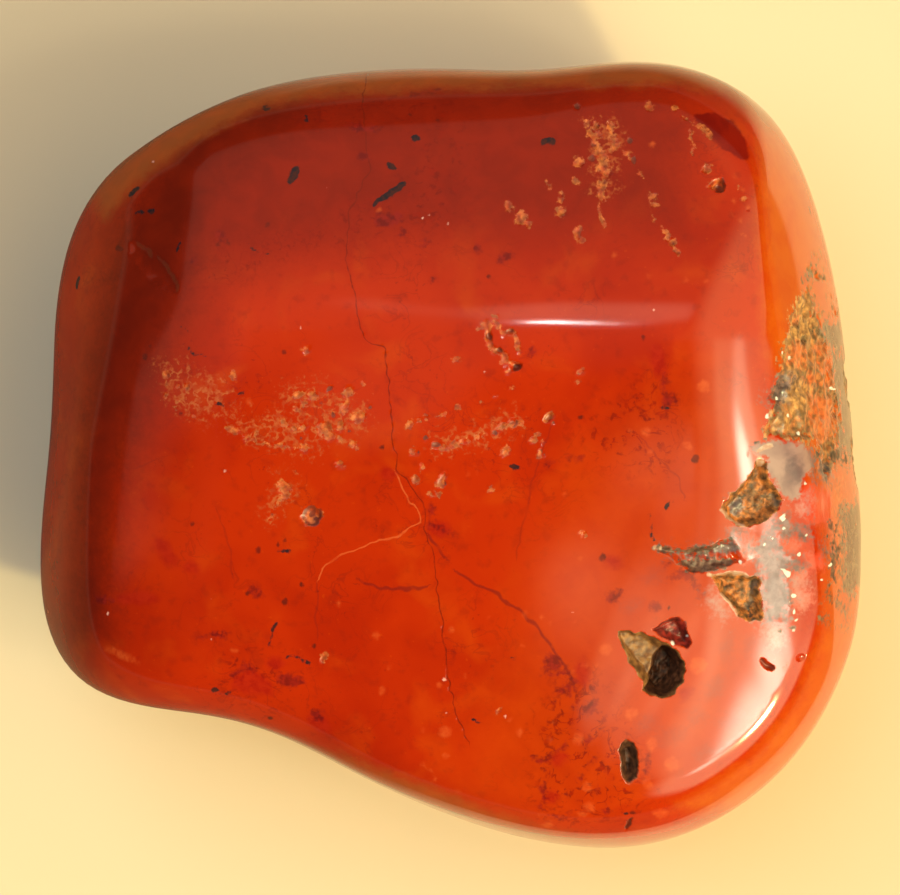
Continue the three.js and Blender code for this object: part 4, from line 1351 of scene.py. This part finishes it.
def jasperMaterial():
    material = bpy.data.materials.new("polishedJasper")
    material.use_nodes = True
    n = Nodes(material.node_tree)
    shader = material.node_tree.nodes["Principled BSDF"]
    place = n.vector("SCALE", n.add("ShaderNodeTexCoord").outputs["Object"], scale=1 / mm)

    def noise(name):
        return n.noise(place, *noises[name])

    medium = noise("medium")
    edge = n.math("SUBTRACT", n.math("ADD", noise("fine"), medium), 1.0)
    patchy = n.ramp(noise("patchy"), *shares["patchy"])
    cloudy = n.ramp(noise("cloudy"), *shares["cloudy"])
    speckle = noise("speckle")
    worms = n.ramp(n.fromMiddle(noise("winding")), *shares["worms"])
    tangled = n.ramp(n.fromMiddle(noise("tangled")), *shares["tangled"])
    blots = n.ramp(noise("blots"), *shares["blots"])
    clumps = n.math("MULTIPLY", n.math("MAXIMUM", tangled, blots), n.ramp(medium, *shares["clumps"]))
    clumps = n.ramp(clumps, 0.0, 1.0)
    colour = groundColour(n, noise)
    rough = jasperFinish["polish"]

    def painted(kind, colour, rough):
        layer = layers[kind]
        distance = n.math("ADD", n.attribute(kind), n.math("MULTIPLY", edge, layer["ragged"]))
        share = n.ramp(distance, layer["soft"] / 2, -layer["soft"] / 2, 0.0, layer["cover"])
        for name, pattern in (("worms", worms), ("clumps", clumps)):
            if name in layer:
                share = n.math("MULTIPLY", share, n.blend(pattern, layer[name], 1.0))
        own = n.mix(cloudy if kind in cloudyKinds else patchy, *layer["colours"])
        if "grain" in layer:
            brightness = n.ramp(speckle, *shares["brightness"], 1 - layer["grain"], 1 + layer["grain"])
            own = n.vector("SCALE", own, scale=brightness)
        return n.mix(share, colour, own), n.blend(share, rough, layer.get("rough", jasperFinish["polish"]))

    for kind in layers:
        if kind in broadKinds:
            colour, rough = painted(kind, colour, rough)
    for kind, line in lineLayers.items():
        side = n.math("ABSOLUTE", n.attribute(kind + "Side"))
        side = n.math("ADD", side, n.math("MULTIPLY", edge, lineBlur["edge"]))
        sharp = n.ramp(side, line["width"] * 2, line["width"] * 0.5)
        near = n.ramp(n.attribute(kind + "Near"), *lineBlur["reach"], 0.0, line["cover"])
        broken = n.ramp(medium, *shares["broken"], lineBlur["faintest"], 1.0)
        share = n.math("MULTIPLY", n.math("MULTIPLY", sharp, near), broken)
        colour = n.mix(share, colour, line["colour"])
    for kind in layers:
        if kind not in broadKinds:
            colour, rough = painted(kind, colour, rough)
    n.join(colour, shader.inputs["Base Color"])
    n.join(rough, shader.inputs["Roughness"])
    shader.inputs["IOR"].default_value = jasperFinish["ior"]
    return material


# Floor, light and camera

floorPlan = {"size": 1.2, "colour": (0.80, 0.64, 0.43), "rough": 0.7}

# The mat lies round the stone, outside this rectangle, and shows only in the polish: it is painted
# shade, so that the sides of the stone reflect a shaded table there. The fade is how far it takes to
# darken at the left, right, near and far edge.
matPlan = {
    "x": (-0.002, 0.030), "y": (-0.034, 0.021), "fade": (0.012, 0.001, 0.001, 0.020),
    "height": 0.0001, "colour": (0.18, 0.12, 0.065),
}


def flatPiece(name, rectangles, height, colour):
    bm = bmesh.new()
    for (x0, x1), (y0, y1) in rectangles:
        bm.faces.new([bm.verts.new((x, y, height)) for x, y in ((x0, y0), (x1, y0), (x1, y1), (x0, y1))])
    mesh = bpy.data.meshes.new(name)
    bm.to_mesh(mesh)
    bm.free()
    piece = addToScene(name, mesh)
    material = bpy.data.materials.new(name)
    material.use_nodes = True
    shader = material.node_tree.nodes["Principled BSDF"]
    shader.inputs["Base Color"].default_value = (*colour, 1)
    shader.inputs["Roughness"].default_value = floorPlan["rough"]
    mesh.materials.append(material)
    return piece


def fadeMat(mat):
    tree = mat.active_material.node_tree
    n = Nodes(tree)
    x, y, _ = n.split(n.add("ShaderNodeTexCoord").outputs["Object"])
    (x0, x1), (y0, y1) = matPlan["x"], matPlan["y"]
    left, right, nearer, further = matPlan["fade"]
    share = 0.0
    for value, start, end in (
        (x, x0, x0 - left), (x, x1, x1 + right), (y, y0, y0 - nearer), (y, y1, y1 + further),
    ):
        share = n.math("MAXIMUM", share, n.ramp(value, start, end))
    colour = n.mix(share, floorPlan["colour"], matPlan["colour"])
    n.join(colour, tree.nodes["Principled BSDF"].inputs["Base Color"])


def buildFloor():
    half = floorPlan["size"] / 2
    flatPiece("paleFloor", [((-half, half), (-half, half))], 0, floorPlan["colour"])
    (x0, x1), (y0, y1) = matPlan["x"], matPlan["y"]
    around = [
        ((-half, x0), (-half, half)), ((x1, half), (-half, half)),
        ((x0, x1), (-half, y0)), ((x0, x1), (y1, half)),
    ]
    # a sheet of painted shade on the table, seen only in the stone's polish
    mat = flatPiece("shadedTableMat", around, matPlan["height"], matPlan["colour"])
    fadeMat(mat)
    mat.visible_camera = False
    mat.visible_diffuse = False
    mat.visible_shadow = False


# Lamps: azimuth and elevation in degrees, distance and size in metres, power and colour.
# Panels are soft-edged pale stretches of the room: the range of the direction's x and y that they
# fill, how high they start, how soft they are, strength and colour.
# Glows are soft round lights: azimuth, elevation, radius, soft share, strength, colour.
lightPlan = {
    "lamps": {
        "keyLamp": (-39, 35, 0.6, (0.04, 0.04), 2.15, (1.0, 0.88, 0.39)),
        "crestLamp": (78, 84.5, 0.3, (0.008, 0.004), 0.012, (1.0, 0.95, 0.9)),
    },
    "fill": (140, 58, 1.0, (0.9, 0.9), 5.1, (0.66, 0.86, 1.0)),
    "rise": 0.04,     # softness of the lower edge of the panels
    "panels": {
        "paleWall": ((-1.2, 1.2), (-0.11, 1.2), 0.60, 0.05, 0.25, (1.0, 0.84, 0.62)),
        "brightWall": ((0.22, 1.2), (-0.30, 0.55), 0.60, 0.22, 1.6, (1.0, 0.74, 0.32)),
        "window": ((0.37, 1.2), (-0.32, -0.10), 0.30, 0.10, 2.0, (1.0, 0.88, 0.46)),
        "lowWindow": ((0.39, 1.2), (-0.80, -0.32), 0.30, 0.10, 3.6, (1.0, 0.90, 0.50)),
    },
    "glows": [
        (-70, 72, 6, 0.6, 2.0, (1.0, 0.75, 0.42)),
        (-56, 66, 7, 0.6, 2.0, (1.0, 0.75, 0.42)),
        (-46, 58, 8, 0.6, 2.0, (1.0, 0.78, 0.45)),
        (-20.5, 55.5, 3.8, 1.0, 22.0, (1.0, 0.95, 0.75)),
        (-14, 53, 5.5, 1.0, 3.5, (1.0, 0.90, 0.62)),
        (-21, 47, 4.0, 1.0, 9.0, (1.0, 0.95, 0.75)),
        (-26, 42.5, 3.8, 1.0, 12.0, (1.0, 0.95, 0.75)),
        (-33, 43.5, 3.7, 1.0, 15.0, (1.0, 0.95, 0.75)),
        (-40, 43.5, 3.7, 1.0, 17.0, (1.0, 0.95, 0.75)),
        (-47, 39, 4.0, 1.0, 9.0, (1.0, 0.95, 0.75)),
        (80, 79, 8, 1.0, 1.3, (1.0, 0.85, 0.6)),
    ],
    # share of the height where each colour of the dim room stands
    "room": [
        (0.0, (0.30, 0.24, 0.14)), (0.1, (0.05, 0.04, 0.03)), (0.9, (0.04, 0.032, 0.025)),
        (1.0, (0.03, 0.024, 0.02)),
    ],
}


def aimed(azimuth, elevation):
    azimuth, elevation = math.radians(azimuth), math.radians(elevation)
    return (math.cos(azimuth) * math.cos(elevation), math.sin(azimuth) * math.cos(elevation),
            math.sin(elevation))


def addLamp(name, azimuth, elevation, distance, size, power, colour):
    light = bpy.data.lights.new(name, "AREA")
    light.shape = "RECTANGLE"
    light.size, light.size_y = size
    light.energy = power
    light.color = colour
    lamp = addToScene(name, light)
    lamp.location = Vector(aimed(azimuth, elevation)) * distance
    lamp.rotation_mode = "QUATERNION"
    lamp.rotation_quaternion = lamp.location.to_track_quat("Z", "Y")
    return lamp


def buildLamps():
    for name, lamp in lightPlan["lamps"].items():
        addLamp(name, *lamp)
    # the fill lightens the shadows and leaves no reflection in the polish
    fill = addLamp("fillLamp", *lightPlan["fill"])
    fill.visible_glossy = False


def buildSky():
    world = bpy.data.worlds.new("softRoom")
    bpy.context.scene.world = world
    world.use_nodes = True
    n = Nodes(world.node_tree)
    background = world.node_tree.nodes["Background"]
    toward = n.add("ShaderNodeTexCoord").outputs["Generated"]
    x, y, z = n.split(toward)
    bands = n.add("ShaderNodeValToRGB")
    n.join(z, bands.inputs["Fac"])
    stops = bands.color_ramp
    stops.interpolation = "EASE"
    stops.elements.remove(stops.elements[1])
    (lowest, floorward), *higher = lightPlan["room"]
    stops.elements[0].position = lowest
    stops.elements[0].color = (*floorward, 1)
    for share, colour in higher:
        stops.elements.new(share).color = (*colour, 1)
    rise = lightPlan["rise"]
    total = bands.outputs["Color"]
    for (x0, x1), (y0, y1), lowest, soft, strength, colour in lightPlan["panels"].values():
        share = n.ramp(z, lowest - rise, lowest + rise, 0.0, strength)
        for value, low, high in ((x, x0, x1), (y, y0, y1)):
            share = n.math("MULTIPLY", share, n.ramp(value, low - soft / 2, low + soft / 2))
            share = n.math("MULTIPLY", share, n.ramp(value, high + soft / 2, high - soft / 2))
        total = n.vector("ADD", total, n.vector("SCALE", colour, scale=share))
    for azimuth, elevation, radius, soft, strength, colour in lightPlan["glows"]:
        facing = n.vector("DOT_PRODUCT", toward, aimed(azimuth, elevation))
        outer = math.cos(math.radians(radius))
        inner = math.cos(math.radians(radius * (1 - soft)))
        share = n.ramp(facing, outer, inner, 0.0, strength)
        total = n.vector("ADD", total, n.vector("SCALE", colour, scale=share))
    n.join(total, background.inputs["Color"])


cameraPlan = {
    "frameWidth": 37.5,     # width of the picture in millimetres at the stone's widest height
    "aside": (0.08, 0.0),   # how far the CAD stone's box lies from the form's own
    "sensor": 36.0,
    "exposure": 0.0,
}


def buildCamera():
    camera = bpy.data.cameras.new("fromAbove")
    away = seenFrom["height"] - seenFrom["level"]
    camera.sensor_width = cameraPlan["sensor"]
    camera.lens = cameraPlan["sensor"] * away / cameraPlan["frameWidth"]
    camera.clip_start = 0.01
    holder = addToScene("fromAbove", camera)
    middle = Vector(seenFrom["middle"]) + Vector(cameraPlan["aside"])
    holder.location = (middle.x * mm, middle.y * mm, seenFrom["height"] * mm)
    bpy.context.scene.camera = holder
    bpy.context.scene.view_settings.view_transform = "Standard"
    bpy.context.scene.view_settings.exposure = cameraPlan["exposure"]


buildCamera()
buildFloor()
buildLamps()
buildSky()
print("floor, light and camera ready")

stone = buildStone()
stone.data.materials.append(jasperMaterial())
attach(stone, "root")
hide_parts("stone")

print("jasper finished")
